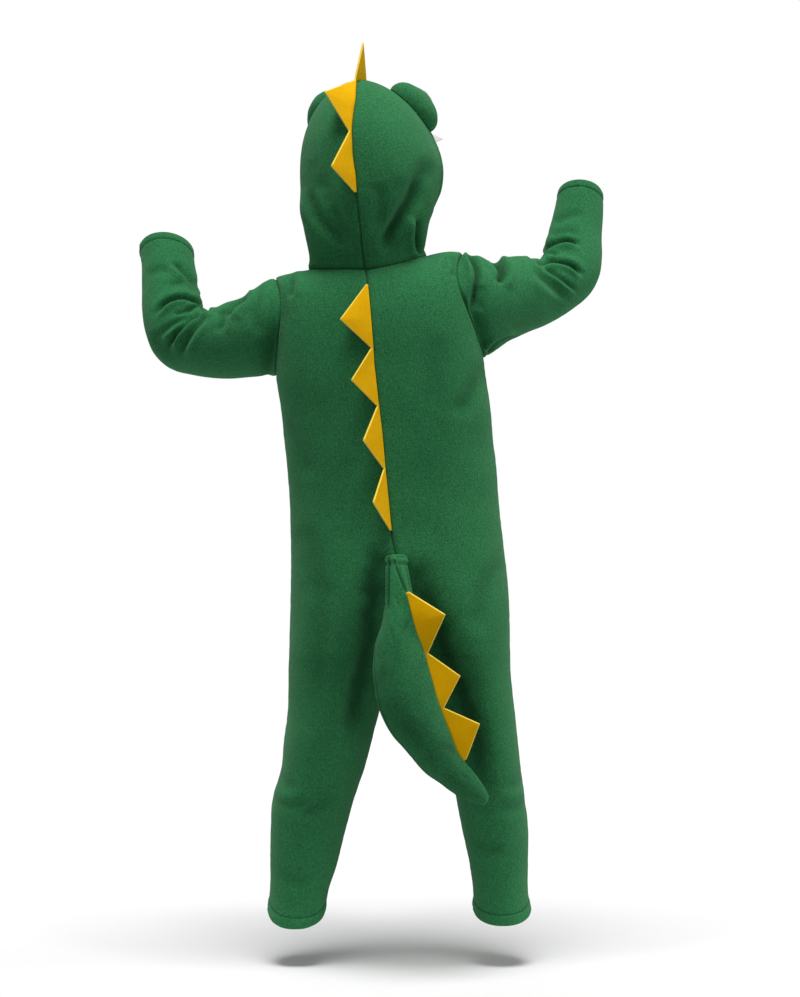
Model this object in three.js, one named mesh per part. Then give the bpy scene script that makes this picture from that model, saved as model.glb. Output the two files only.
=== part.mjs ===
// Hooded dragon jumpsuit in a small size, in the pose in which it hangs open: sleeves raised, legs apart.
// Millimetres, +Z up. The front faces -Y and the garment's own left is +X.
// The origin is the middle of the neck base, where the suit is held up.
import * as THREE from "three";

// ---------- driving sizes ----------
const WALL = 2; // fleece
const FELT = 2.4; // spikes
const GAP = 0.3; // between two pieces at a seam
const LIFT = 0.5; // clearance of a piece that lies on a panel
const SIDE_COLS = 4; // columns from the side or armhole to below the neck side
const NECK_COLS = 5; // columns from there to the centre seam
const YOKE_ROWS = 8; // rows from the underarm to the shoulder
const NECK_WIDTH = 78; // half width of the neck seam
const NECK_DEPTH = 62; // half depth of the neck seam
const NECK_TURN = 2.7; // sideways shift of the neck seam's back point
const NECK_POWER = 2.2;
const YOKE_POWER = 2.6;
// How far round the side each armhole is cut, on the chest section, how fast it gets there, and from where it turns out to the shoulder.
const ARMHOLE = { left: { depth: 66, bow: 0.4, start: 0.2 }, right: { depth: 78, bow: 0.33, start: 0.3 } };
const CRUTCH = 6; // sharpness with which the two leg tubes join
const UNDERARM = { left: -143.6, right: -121 };
const NECK_RISE = 21.5; // how far the neck seam climbs to the garment's right
const NECK_DROP = 7; // how low it sits at the back
const SHOULDER = { left: { tip: -14.6, x: 123, crown: 0.6 }, right: { tip: 18.6, x: -126, crown: 3 } };
const TIP_X = { left: 117.5, right: -149 }; // shoulder tip, measured on the chest section
const HEM_DROP = { from: -775, to: -850, left: 0.42, right: 0.33 }; // the hem hangs lower at the back

// ---------- tables ----------
// Body sections. xp, xn: outer edges; ip, iq: inner edges of the left and right tube, which overlap above the crutch.
// b, f: half depth behind and in front; n: squareness; xs, xf: centre-back and centre-front seam.
const BODY = [
  { z: -100, xp: 124.5, ip: -73, iq: 48, xn: -152, b: 90, f: 88, n: 2.9, xs: -5, xf: -18 },
  { z: -144, xp: 120.5, ip: -77, iq: 46, xn: -156, b: 92, f: 92, n: 2.8, xs: -10, xf: -23 },
  { z: -189, xp: 114.5, ip: -85, iq: 38, xn: -162, b: 93, f: 96, n: 2.6, xs: -15, xf: -32 },
  { z: -229, xp: 110.5, ip: -89, iq: 35, xn: -165, b: 93, f: 99, n: 2.5, xs: -19.5, xf: -36 },
  { z: -269, xp: 106.5, ip: -92, iq: 31, xn: -170, b: 93, f: 101, n: 2.45, xs: -23, xf: -41 },
  { z: -309, xp: 103.7, ip: -92, iq: 25, xn: -173, b: 94, f: 102, n: 2.4, xs: -27, xf: -43 },
  { z: -348, xp: 102.4, ip: -88, iq: 14, xn: -177, b: 97, f: 102, n: 2.4, xs: -31, xf: -44 },
  { z: -388, xp: 101.1, ip: -80, iq: 0, xn: -182, b: 101, f: 101, n: 2.4, xs: -38, xf: -45 },
  { z: -428, xp: 101.1, ip: -69, iq: -16, xn: -186, b: 104, f: 99, n: 2.35, xs: -43, xf: -47 },
  { z: -468, xp: 102.4, ip: -58, iq: -36, xn: -188, b: 104, f: 96, n: 2.3, xs: -48, xf: -49 },
  { z: -508, xp: 104.5, ip: -46, iq: -58, xn: -189, b: 99, f: 91, n: 2.3, xs: -52, xf: -52 },
  { z: -528, xp: 105, ip: -36, iq: -68, xn: -190, b: 93, f: 87, n: 2.25, xs: -52, xf: -52 },
  { z: -548, xp: 105, ip: -26.5, iq: -79, xn: -191.5, b: 87, f: 84, n: 2.25, xs: -52, xf: -52 },
  { z: -588, xp: 106.4, ip: -14.5, iq: -94, xn: -195.5, b: 80, f: 79, n: 2.2, xs: -52, xf: -52 },
  { z: -628, xp: 111.5, ip: -4, iq: -102, xn: -199.5, b: 75, f: 75, n: 2.2, xs: -52, xf: -52 },
  { z: -668, xp: 116, ip: 6.7, iq: -110, xn: -203.5, b: 70, f: 71, n: 2.2, xs: -52, xf: -52 },
  { z: -708, xp: 127.5, ip: 20, iq: -118.5, xn: -207.5, b: 65, f: 67, n: 2.2, xs: -52, xf: -52 },
  { z: -748, xp: 129.5, ip: 30.5, iq: -126.5, xn: -211.5, b: 60, f: 62, n: 2.2, xs: -52, xf: -52 },
  { z: -788, xp: 130.5, ip: 40, iq: -134.5, xn: -212, b: 55, f: 57, n: 2.2, xs: -52, xf: -52 },
  { z: -828, xp: 131, ip: 53, iq: -139.5, xn: -213, b: 50, f: 53, n: 2.2, xs: -52, xf: -52 },
  { z: -852, xp: 134.5, ip: 56, iq: -138.5, xn: -217, b: 49, f: 51, n: 2.2, xs: -52, xf: -52 },
];
const CROTCH = -515.4; // level at which the two tubes part
const BODY_LEVELS = [-175, -220, -265, -310, -355, -400, -440, -475, -501, CROTCH, -530, -562, -605, -650, -690, -722, -770, -815, -850];

// Sleeve rings from the shoulder to the cuff. xi, zi: inner edge, above; xo, zo: outer edge, below; y: depth; d: half depth.
const SLEEVE = {
  left: [
    { xi: 141, zi: -21, xo: 139, zo: -142, y: -3, d: 60 },
    { xi: 162, zi: -35, xo: 162, zo: -144, y: -13, d: 55 },
    { xi: 185, zi: -44, xo: 187, zo: -145, y: -27, d: 50 },
    { xi: 208, zi: -53, xo: 213, zo: -143, y: -41, d: 45.5 },
    { xi: 222, zi: -52, xo: 241, zo: -138, y: -55, d: 42 },
    { xi: 228, zi: -43, xo: 266, zo: -131, y: -64, d: 41 },
    { xi: 231, zi: -34, xo: 286, zo: -114, y: -74, d: 41 },
    { xi: 233, zi: -25, xo: 299, zo: -88, y: -86, d: 40 },
    { xi: 235, zi: -13, xo: 306, zo: -57, y: -101, d: 39 },
    { xi: 237, zi: 1, xo: 310, zo: -23, y: -118, d: 38 },
    { xi: 241, zi: 18, xo: 313, zo: 11, y: -137, d: 37.5 },
    { xi: 243, zi: 32, xo: 318, zo: 40, y: -154, d: 37.5 },
  ],
  right: [
    { xi: -146, zi: 15, xo: -165, zo: -114, y: -2, d: 60 },
    { xi: -165, zi: 9, xo: -180, zo: -103, y: -11, d: 55 },
    { xi: -183, zi: 16, xo: -195, zo: -93, y: -23, d: 49.5 },
    { xi: -201, zi: 19, xo: -213, zo: -84, y: -36, d: 45 },
    { xi: -218, zi: 15, xo: -235, zo: -75, y: -51, d: 40 },
    { xi: -228, zi: 14, xo: -257, zo: -63, y: -62, d: 39 },
    { xi: -233, zi: 18, xo: -279, zo: -48, y: -73, d: 38 },
    { xi: -236, zi: 24, xo: -298, zo: -31, y: -85, d: 37 },
    { xi: -239, zi: 34, xo: -311, zo: -8, y: -98, d: 36 },
    { xi: -243, zi: 48, xo: -317, zo: 18, y: -113, d: 35 },
    { xi: -249, zi: 67, xo: -319, zo: 47, y: -130, d: 34 },
    { xi: -256, zi: 93, xo: -323, zo: 80, y: -149, d: 33 },
    { xi: -262, zi: 120, xo: -325, zo: 111, y: -168, d: 33 },
  ],
};

// Hood sections: planes that fan out from a line at the throat. a: angle; r: distance of the centre seam;
// w: half width; n, q, m: squareness of the left and right upper part, and of the lower part.
const THROAT = { y: -74, z: -4, r: 12 };
const HOOD = [
  { a: 0, r: 136, w: 78, n: 2.2, q: 2.2, m: 2.2 },
  { a: 8, r: 147, w: 77, n: 2.2, q: 2.2, m: 2.2 },
  { a: 18, r: 169, w: 78, n: 2.15, q: 2.15, m: 2.2 },
  { a: 33, r: 206, w: 83.5, n: 2, q: 2, m: 2.1 },
  { a: 50, r: 249, w: 88, n: 2, q: 1.9, m: 2 },
  { a: 62, r: 265, w: 91, n: 2.1, q: 1.75, m: 2 },
  { a: 73, r: 266, w: 91, n: 2.1, q: 1.65, m: 1.85 },
  { a: 84, r: 254, w: 90, n: 2.1, q: 1.78, m: 1.75 },
  { a: 93, r: 238, w: 85.5, n: 2, q: 2.05, m: 1.65 },
  { a: 100, r: 227, w: 85.5, n: 2, q: 2.05, m: 1.6 },
];
const HOOD_ANGLES = [0, 8, 18, 30, 42, 54, 66, 78, 86, 93];
const HOOD_YAW = 14; // degrees that the hood looks to the garment's right
const HOOD_ROLL = 5; // degrees that it leans to the garment's left
const HOOD_SHIFT = -9;
const HOOD_FREE = { from: 15, to: 150 }; // height over which the hood takes up its turn
// How far the back of the hood is drawn to the garment's left at each height, as its centre seam shows.
const HOOD_SWAY = [
  { z: -5, dx: 0 },
  { z: 28, dx: 5.3 },
  { z: 61, dx: 5.4 },
  { z: 90, dx: 0.8 },
  { z: 114, dx: -5 },
  { z: 149, dx: -7.5 },
  { z: 170, dx: -7.2 },
  { z: 195, dx: -8.5 },
  { z: 217, dx: -9 },
  { z: 238, dx: -5 },
  { z: 252, dx: 0 },
];

// Spikes: from, to: place on the seam; h: height; lean: degrees off the cloth towards the garment's left; skew: shift of the tip.
const HOOD_SPIKES = [
  { from: 29, to: 46.5, h: 41.7, lean: 62, skew: -0.07 },
  { from: 46.5, to: 67, h: 44.5, lean: 49, skew: -0.13 },
  { from: 67, to: 82, h: 46, lean: 104, skew: 0.01 },
];
const BACK_SPIKES = [
  { from: -30, to: -112, h: 42, lean: 26, skew: 0.055 },
  { from: -113, to: -187, h: 39, lean: 39, skew: 0.02 },
  { from: -188, to: -268, h: 38.5, lean: 55, skew: 0.02 },
  { from: -269, to: -348, h: 40, lean: 62.5, skew: 0.03 },
];
const TAIL_SPIKES = [
  { from: 1.72, to: 4.12, h: 45, lean: 92, skew: -0.01 },
  { from: 4.15, to: 6.32, h: 34, lean: 90, skew: -0.05 },
  { from: 6.35, to: 9, h: 37, lean: 92, skew: -0.13 },
];
const STRIP = 2; // height of the strip between two spikes

// Tail sections. w: half width across; d: half depth; turn: degrees by which the ridge turns from the garment's right to the back.
const TAIL = [
  { x: -37.5, y: 108, z: -382, w: 13, d: 4.5, turn: 85 },
  { x: -39, y: 117, z: -406, w: 15.3, d: 11, turn: 70 },
  { x: -42, y: 125, z: -437, w: 17.9, d: 17, turn: 52 },
  { x: -41, y: 132, z: -468, w: 22, d: 24, turn: 28 },
  { x: -40, y: 138, z: -503, w: 31.2, d: 30, turn: 12 },
  { x: -46, y: 142, z: -547, w: 35.6, d: 33, turn: 5 },
  { x: -57.5, y: 141, z: -583, w: 35, d: 33, turn: 5 },
  { x: -76.5, y: 136, z: -615, w: 29.8, d: 29, turn: 5 },
  { x: -91.8, y: 130, z: -640, w: 25, d: 24, turn: 5 },
  { x: -109, y: 123, z: -659, w: 20.4, d: 18, turn: 5 },
  { x: -127.5, y: 117, z: -676.5, w: 17, d: 14, turn: 5 },
  { x: -143, y: 111, z: -689.5, w: 12.5, d: 10, turn: 5 },
  { x: -151, y: 108, z: -696, w: 8, d: 6.5, turn: 5 },
];
const UNDER = 26; // half angle of the tail's under strip

// Eye pads, on the hood: a, t: centre; da, dt: reach; h: height.
const PAD = { left: { a: 84.5, t: 41.5, da: 8, dt: 18.5, h: 21 }, right: { a: 83.5, t: 43.5, da: 8.5, dt: 19.5, h: 24 } };
const TEETH = { count: 6, reach: 63, h: 24, base: 3, width: 0.46 }; // width: share of the spacing

// The largest folds: a trough or ridge from (x1, z1) to (x2, z2) on one piece; depth is positive for a trough.
const FOLDS = [
  { on: "hood_right", face: 1, x1: -82, z1: 132, x2: -22, z2: 22, depth: 7, width: 20 },
  { on: "hood_right", face: 1, x1: -42, z1: 104, x2: -10, z2: 42, depth: 3, width: 16 },
  { on: "hood_right", face: 1, x1: -96, z1: 62, x2: -84, z2: 8, depth: 6, width: 20 },
  { on: "hood_left", face: 1, x1: 62, z1: 108, x2: 30, z2: 24, depth: 4, width: 18 },
  { on: "hood_left", face: 1, x1: 92, z1: 62, x2: 82, z2: 6, depth: 2.5, width: 20 },
  { on: "back_left", face: 1, x1: 107, z1: -200, x2: 76, z2: -275, depth: 3.5, width: 18 },
  { on: "back_right", face: 1, x1: -158, z1: -130, x2: -120, z2: -190, depth: 3, width: 18 },
  { on: "front_left", face: -1, x1: 104, z1: -190, x2: 60, z2: -265, depth: 4, width: 20 },
  { on: "front_right", face: -1, x1: -150, z1: -170, x2: -110, z2: -240, depth: 4, width: 20 },
];

// ---------- numbers ----------
const rad = (d) => (d * Math.PI) / 180;
const mix = (a, b, t) => a + (b - a) * t;
const clamp = (x, a, b) => Math.min(b, Math.max(a, x));
const smooth = (a, b, x) => {
  const t = clamp((x - a) / (b - a), 0, 1);
  return t * t * (3 - 2 * t);
};
const power = (x, e) => Math.pow(Math.abs(x), e);
const V = (x, y, z) => new THREE.Vector3(x, y, z);

// All columns of a table at one value of its key column, on a smooth curve through the rows.
function lookup(table, key, at) {
  const up = table[table.length - 1][key] > table[0][key];
  let i = 0;
  while (i < table.length - 2 && (up ? at > table[i + 1][key] : at < table[i + 1][key])) i++;
  const p = table[i], q = table[i + 1], o = table[Math.max(0, i - 1)], r = table[Math.min(table.length - 1, i + 2)];
  const h = q[key] - p[key], t = clamp((at - p[key]) / h, 0, 1), out = {};
  for (const c of Object.keys(p)) {
    const m0 = o === p ? q[c] - p[c] : ((q[c] - o[c]) * h) / (q[key] - o[key]);
    const m1 = r === q ? q[c] - p[c] : ((r[c] - p[c]) * h) / (r[key] - p[key]);
    out[c] = p[c] * (1 + t * t * (2 * t - 3)) + m0 * t * (1 - t) * (1 - t) + q[c] * t * t * (3 - 2 * t) - m1 * t * t * (1 - t);
  }
  out[key] = at;
  return out;
}

// A row of points with n + 1 points at equal lengths along it.
function even(points, n) {
  const len = [0];
  for (let i = 1; i < points.length; i++) len.push(len[i - 1] + points[i].distanceTo(points[i - 1]));
  const out = [];
  for (let j = 0, i = 0; j <= n; j++) {
    const s = (len[len.length - 1] * j) / n;
    while (i < points.length - 2 && len[i + 1] < s) i++;
    out.push(points[i].clone().lerp(points[i + 1], clamp((s - len[i]) / (len[i + 1] - len[i] || 1), 0, 1)));
  }
  return out;
}

// ---------- the body ----------
// Below 1 inside the cloth, 1 on it: two leg tubes, joined smoothly.
function bodyField(x, y, z) {
  const r = lookup(BODY, "z", z);
  const d = y > 0 ? r.b : r.f;
  const tube = (outer, inner) => {
    const a = Math.abs(outer - inner) / 2, c = (outer + inner) / 2;
    return Math.max(1e-6, power(power((x - c) / a, r.n) + power(y / d, r.n), 1 / r.n));
  };
  return power(power(tube(r.xp, r.ip), -CRUTCH) + power(tube(r.xn, r.iq), -CRUTCH), -1 / CRUTCH);
}
// The chest rows slope with the raised shoulder.
const slope = (z) => ((UNDERARM.left - UNDERARM.right) / 277) * smooth(-400, -150, z);
const tilted = (z, x) => z + slope(z) * (x + 16);
function outwards(f, step, far) {
  let lo = 0, hi = step;
  while (hi < far && f(hi) < 1) (lo = hi), (hi += step);
  for (let k = 0; k < 34; k++) {
    const m = (lo + hi) / 2;
    if (f(m) < 1) lo = m;
    else hi = m;
  }
  return (lo + hi) / 2;
}
// Half a section of one side: from the side seam to the centre seam, or to the inseam below the crutch.
function bodyRow(side, face, z, n) {
  const s = side === "left" ? 1 : -1, r = lookup(BODY, "z", z), whole = z > CROTCH;
  const outer = s > 0 ? r.xp : r.xn, inner = s > 0 ? r.ip : r.iq, cx = (outer + inner) / 2;
  const at = (x, y) => bodyField(x, y, tilted(z, x));
  let end = Math.PI, seam = null;
  if (whole) {
    const xs = face > 0 ? r.xs : r.xf;
    const y = face * outwards((q) => at(xs, face * q), 2, 200);
    seam = V(xs, y, tilted(z, xs));
    end = Math.atan2(Math.abs(y), s * (xs - cx));
  }
  const points = [];
  const STEPS = 72;
  for (let i = 0; i <= STEPS; i++) {
    const phi = (end * i) / STEPS, c = s * Math.cos(phi), q = face * Math.sin(phi);
    const far = outwards((t) => at(cx + c * t, q * t), 3, 300);
    const x = cx + c * far;
    points.push(V(x, i === 0 || (!whole && i === STEPS) ? 0 : q * far, tilted(z, x)));
  }
  if (seam) points[STEPS] = seam;
  if (z === CROTCH) points[STEPS] = V(r.xs, 0, z);
  return even(points, n);
}
const chest = {};
for (const side of ["left", "right"])
  for (const face of [1, -1]) chest[side + face] = bodyRow(side, face, -132.3, 200);
const chestLevel = (x) => tilted(-132.3, x);
function chestDepth(x, face) {
  return outwards((q) => bodyField(x, face * q, chestLevel(x)), 2, 200);
}
function chestX(depth, side, face) {
  // where the chest section is so deep, on the side's flank
  const row = chest[side + face];
  for (let i = 1; i < row.length; i++)
    if (Math.abs(row[i].y) >= depth) {
      const t = (depth - Math.abs(row[i - 1].y)) / (Math.abs(row[i].y) - Math.abs(row[i - 1].y));
      return mix(row[i - 1].x, row[i].x, t);
    }
  return row[row.length - 1].x;
}
// The shoulders lean in or out above the chest section.
const LEAN = {
  left: SHOULDER.left.x / TIP_X.left - 1,
  right: SHOULDER.right.x / TIP_X.right - 1,
};
const leaned = (x, z) => x * (1 + LEAN[x > 0 ? "left" : "right"] * clamp((z - chestLevel(x)) / 140, 0, 1.2));
function unleaned(x, z) {
  let q = x;
  for (let k = 0; k < 8; k++) q = x / (1 + LEAN[x > 0 ? "left" : "right"] * clamp((z - chestLevel(q)) / 140, 0, 1.2));
  return q;
}
// The neck seam; t runs from the centre back, 0, past the side, 90, to the centre front, 180 degrees.
function neckPoint(side, t) {
  const s = side === "left" ? 1 : -1, c = Math.cos(rad(t));
  const across = power(Math.sin(rad(t)), 2 / NECK_POWER), x = s * NECK_WIDTH * across + NECK_TURN * c; // across is 0 at both centre seams
  const y = NECK_DEPTH * Math.sign(c) * power(c, 2 / NECK_POWER);
  const rise = side === "left" ? 3 * across * across : NECK_RISE * power(across, 1.6);
  return V(x, Math.abs(t - 90) < 1e-6 ? 0 : y, rise - NECK_DROP - 20 * smooth(90, 180, t));
}
// One column of the yoke stands on the chest section and ends on the shoulder seam or the neck seam.
function yokeColumn(side, face, u) {
  const row = chest[side + face];
  const share = SIDE_COLS / (SIDE_COLS + NECK_COLS);
  const k = u <= 1 ? u * share : share + (u - 1) * (1 - share);
  const i = clamp(Math.floor(k * 200), 0, 199);
  const base = mix(row[i].x, row[i + 1].x, k * 200 - i);
  const neck = neckPoint(side, 90);
  let top;
  if (u <= 1) {
    const sh = SHOULDER[side];
    const x = mix(sh.x, neck.x, u), h = sh.crown * Math.sin(Math.PI * u);
    top = V(x, 0, mix(sh.tip, neck.z, smooth(-0.3, 1.2, u) * 0.5 + u * 0.5) + h);
    if (u === 1) top.z = neck.z;
    if (u === 0) top.z = sh.tip;
  } else top = neckPoint(side, face > 0 ? 90 * (2 - u) : 90 * u);
  const x1 = unleaned(top.x, top.z);
  const reach = u <= 1 ? 90 : (Math.acos(clamp(power(top.y / chestDepth(x1, face), YOKE_POWER / 2), 0, 1)) * 180) / Math.PI;
  const z0 = chestLevel(x1);
  const ridge = z0 + (top.z - z0) / power(Math.sin(rad(reach)), 2 / YOKE_POWER);
  return { base, x1, reach, ridge, top };
}
function yokePoint(side, face, u, v, cols) {
  const c = cols(u), neck = cols(1), tip = cols(0);
  let x = mix(c.base, c.x1, v);
  if (u < 1) {
    const hole = ARMHOLE[side], edge = chestX(hole.depth * power(1 - power(1 - v, 3), hole.bow), side, face);
    const e = v >= 1 ? tip.x1 : mix(edge, tip.x1, smooth(hole.start, 1, v));
    const x0 = mix(tip.base, tip.x1, v), xk = mix(neck.base, neck.x1, v);
    x = e + ((x - x0) * (xk - e)) / (xk - x0);
  }
  const th = rad(c.reach * v), z0 = chestLevel(x);
  const z = z0 + (c.ridge - z0) * power(Math.sin(th), 2 / YOKE_POWER);
  const y = face * chestDepth(x, face) * power(Math.cos(th), 2 / YOKE_POWER);
  if (v >= 1) return c.top.clone();
  return V(leaned(x, z), y, z);
}
function yokeRow(side, face, v) {
  const cache = new Map();
  const cols = (u) => {
    const k = u.toFixed(5);
    if (!cache.has(k)) cache.set(k, yokeColumn(side, face, u));
    return cache.get(k);
  };
  const seg = (u0, u1, n, keep) => {
    const pts = [];
    for (let i = 0; i <= 24; i++) pts.push(yokePoint(side, face, mix(u0, u1, i / 24), v, cols));
    if (!keep) return even(pts, n);
    const out = [];
    for (let j = 0; j <= n; j++) out.push(yokePoint(side, face, mix(u0, u1, j / n), v, cols));
    return out;
  };
  return [...seg(0, 1, SIDE_COLS, false), ...seg(1, 2, NECK_COLS, v >= 1).slice(1)];
}
function hemDrop(p, side) {
  p.z -= HEM_DROP[side] * p.y * smooth(HEM_DROP.from, HEM_DROP.to, p.z);
  return p;
}
function bodyPanel(side, face) {
  const grid = [];
  for (let i = YOKE_ROWS; i >= 1; i--) grid.push(yokeRow(side, face, i / YOKE_ROWS));
  grid.push(bodyRow(side, face, -132.3, SIDE_COLS + NECK_COLS));
  for (const z of BODY_LEVELS) grid.push(bodyRow(side, face, z, SIDE_COLS + NECK_COLS).map((p) => hemDrop(p, side)));
  return grid;
}

// ---------- sleeves ----------
// Rings from the armhole, whose points are the body panels' own, to the cuff.
function sleeveGrid(side, loop) {
  const rings = SLEEVE[side], n = loop.length;
  const centre = (r) => V((r.xi + r.xo) / 2, r.y, (r.zi + r.zo) / 2);
  const grid = [loop.map((p) => p.clone())];
  const start = V(side === "left" ? 121 : -140, 0, side === "left" ? -79 : -51);
  rings.forEach((r, i) => {
    const before = i ? centre(rings[i - 1]) : start, after = i < rings.length - 1 ? centre(rings[i + 1]) : null;
    const c = centre(r), along = after ? after.sub(before) : c.clone().sub(before);
    const down = V(r.xo, r.y, r.zo).sub(c);
    const back = V().crossVectors(down, along).normalize();
    if (back.y < 0) back.negate();
    back.lerp(V(0, 1, 0), 1 - smooth(-1, 4, i)).normalize(); // the first rings lie along the armhole
    const ring = [];
    for (let k = 0; k < n; k++) {
      const phi = (2 * Math.PI * k) / n;
      ring.push(c.clone().addScaledVector(down, Math.cos(phi)).addScaledVector(back, r.d * Math.sin(phi)));
    }
    grid.push(ring);
  });
  return grid;
}

// ---------- hood ----------
function hoodPoint(side, a, t) {
  const r = lookup(HOOD, "a", a), s = side === "left" ? 1 : -1;
  const c = Math.cos(rad(t)), e = t < 90 ? (side === "left" ? r.n : r.q) : r.m;
  const mid = (r.r + THROAT.r) / 2, half = (r.r - THROAT.r) / 2;
  const far = mid + half * Math.sign(c) * power(c, 2 / e);
  let x = s * r.w * power(Math.sin(rad(t)), 2 / e);
  let y = THROAT.y + far * Math.cos(rad(a));
  let z = THROAT.z + far * Math.sin(rad(a));
  const open = smooth(HOOD_FREE.from, HOOD_FREE.to, z), yaw = rad(HOOD_YAW) * open;
  [x, y] = [x * Math.cos(yaw) + y * Math.sin(yaw), y * Math.cos(yaw) - x * Math.sin(yaw)];
  const roll = rad(HOOD_ROLL) * open;
  [x, z] = [x * Math.cos(roll) + z * Math.sin(roll), z * Math.cos(roll) - x * Math.sin(roll)];
  x += HOOD_SHIFT * open + lookup(HOOD_SWAY, "z", z).dx * smooth(-40, 60, y);
  const neck = neckPoint(side, t);
  const sit = 1 - smooth(0, 26, a);
  z += sit * (neck.z - THROAT.z);
  x += NECK_TURN * c * sit;
  return V(x, y, z);
}
function hoodNormal(side, a, t) {
  const e = 0.4, s = side === "left" ? 1 : -1;
  const pa = hoodPoint(side, a + e, t).sub(hoodPoint(side, a - e, t));
  const pt = hoodPoint(side, a, t + e).sub(hoodPoint(side, a, Math.max(0, t - e)));
  return V().crossVectors(pt, pa).multiplyScalar(-s).normalize().negate();
}
function hoodGrid(side, neck) {
  const n = 2 * NECK_COLS;
  return HOOD_ANGLES.map((a, i) => {
    if (!i) return neck.map((p) => p.clone());
    const row = [];
    for (let j = 0; j <= n; j++) {
      const p = hoodPoint(side, a, (180 * j) / n);
      row.push(p);
    }
    return row;
  });
}

// ---------- solids ----------
const root = new THREE.Group();
const cloth = (colour, roughness = 0.95) => new THREE.MeshStandardMaterial({ color: colour, roughness, metalness: 0 });
const GREEN = cloth(0x30663f), YELLOW = cloth(0xd8a010), WHITE = cloth(0xcfd0cb), BLACK = cloth(0x1c1c1e);
function addMesh(name, positions, faces, material) {
  const g = new THREE.BufferGeometry();
  g.setAttribute("position", new THREE.Float32BufferAttribute(positions.flatMap((p) => [p.x, p.y, p.z]), 3));
  g.setIndex(faces.flat());
  g.computeVertexNormals();
  const mesh = new THREE.Mesh(g, material);
  mesh.name = name;
  root.add(mesh);
  return mesh;
}
const volume = (pts, faces) => faces.reduce((v, [a, b, c]) => v + pts[a].dot(V().crossVectors(pts[b], pts[c])) / 6, 0);
// A closed solid between two grids of points, row by row; wrap joins the last column to the first.
function between(name, outer, inner, material, wrap = false) {
  const rows = outer.length, cols = outer[0].length, pts = [...outer.flat(), ...inner.flat()];
  const id = (k, i, j) => k * rows * cols + i * cols + (j % cols);
  const faces = [], quad = (a, b, c, d) => {
    if (pts[a].distanceTo(pts[c]) <= pts[b].distanceTo(pts[d])) faces.push([a, b, c], [a, c, d]);
    else faces.push([a, b, d], [b, c, d]);
  };
  // An edge wall is divided in the same way on both sides of a seam.
  const edge = (a, b, c, d) => {
    const low = (p, q) => (Math.abs(p.z - q.z) > 0.4 ? p.z < q.z : Math.abs(p.y - q.y) > 0.4 ? p.y < q.y : p.x < q.x);
    if (low(pts[a], pts[b])) faces.push([a, b, c], [a, c, d]);
    else faces.push([a, b, d], [b, c, d]);
  };
  const wide = wrap ? cols : cols - 1;
  for (let i = 0; i < rows - 1; i++)
    for (let j = 0; j < wide; j++) {
      quad(id(0, i, j), id(0, i, j + 1), id(0, i + 1, j + 1), id(0, i + 1, j));
      quad(id(1, i, j), id(1, i + 1, j), id(1, i + 1, j + 1), id(1, i, j + 1));
    }
  for (let j = 0; j < wide; j++) {
    edge(id(0, 0, j + 1), id(0, 0, j), id(1, 0, j), id(1, 0, j + 1));
    edge(id(0, rows - 1, j), id(0, rows - 1, j + 1), id(1, rows - 1, j + 1), id(1, rows - 1, j));
  }
  if (!wrap)
    for (let i = 0; i < rows - 1; i++) {
      edge(id(0, i, 0), id(0, i + 1, 0), id(1, i + 1, 0), id(1, i, 0));
      edge(id(0, i + 1, cols - 1), id(0, i, cols - 1), id(1, i, cols - 1), id(1, i + 1, cols - 1));
    }
  if (volume(pts, faces) < 0) faces.forEach((f) => f.reverse());
  return addMesh(name, pts, faces, material);
}

// Normals that pieces share along their seams.
const key = (p) => [p.x, p.y, p.z].map((q) => Math.round(q * 200)).join();
const shared = new Map();
function shareNormals(grid, wrap, flip) {
  const rows = grid.length, cols = grid[0].length, own = new Map();
  const add = (p, n) => {
    const k = key(p);
    if (!own.has(k)) own.set(k, V(0, 0, 0));
    own.get(k).add(n);
  };
  for (let i = 0; i < rows - 1; i++)
    for (let j = 0; j < (wrap ? cols : cols - 1); j++) {
      const a = grid[i][j], b = grid[i][(j + 1) % cols], c = grid[i + 1][(j + 1) % cols], d = grid[i + 1][j];
      const n = V().crossVectors(c.clone().sub(a), d.clone().sub(b)).multiplyScalar(flip).normalize();
      [a, b, c, d].forEach((p) => add(p, n));
    }
  for (const [k, n] of own) {
    if (!shared.has(k)) shared.set(k, V(0, 0, 0));
    shared.get(k).add(n.normalize());
  }
}
const normalAt = (p) => shared.get(key(p)).clone().normalize();
function fold(name, p, n) {
  let q = 0;
  for (const f of FOLDS) {
    if (f.on !== name) continue;
    const dx = f.x2 - f.x1, dz = f.z2 - f.z1, len = Math.hypot(dx, dz);
    const s = ((p.x - f.x1) * dx + (p.z - f.z1) * dz) / len, off = ((p.x - f.x1) * dz - (p.z - f.z1) * dx) / len;
    const ends = smooth(-12, 12, s) * smooth(len + 12, len - 12, s);
    q += f.depth * Math.exp(-Math.pow(off / (f.width * 0.55), 2)) * ends;
  }
  return p.clone().addScaledVector(n, -q);
}
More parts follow.
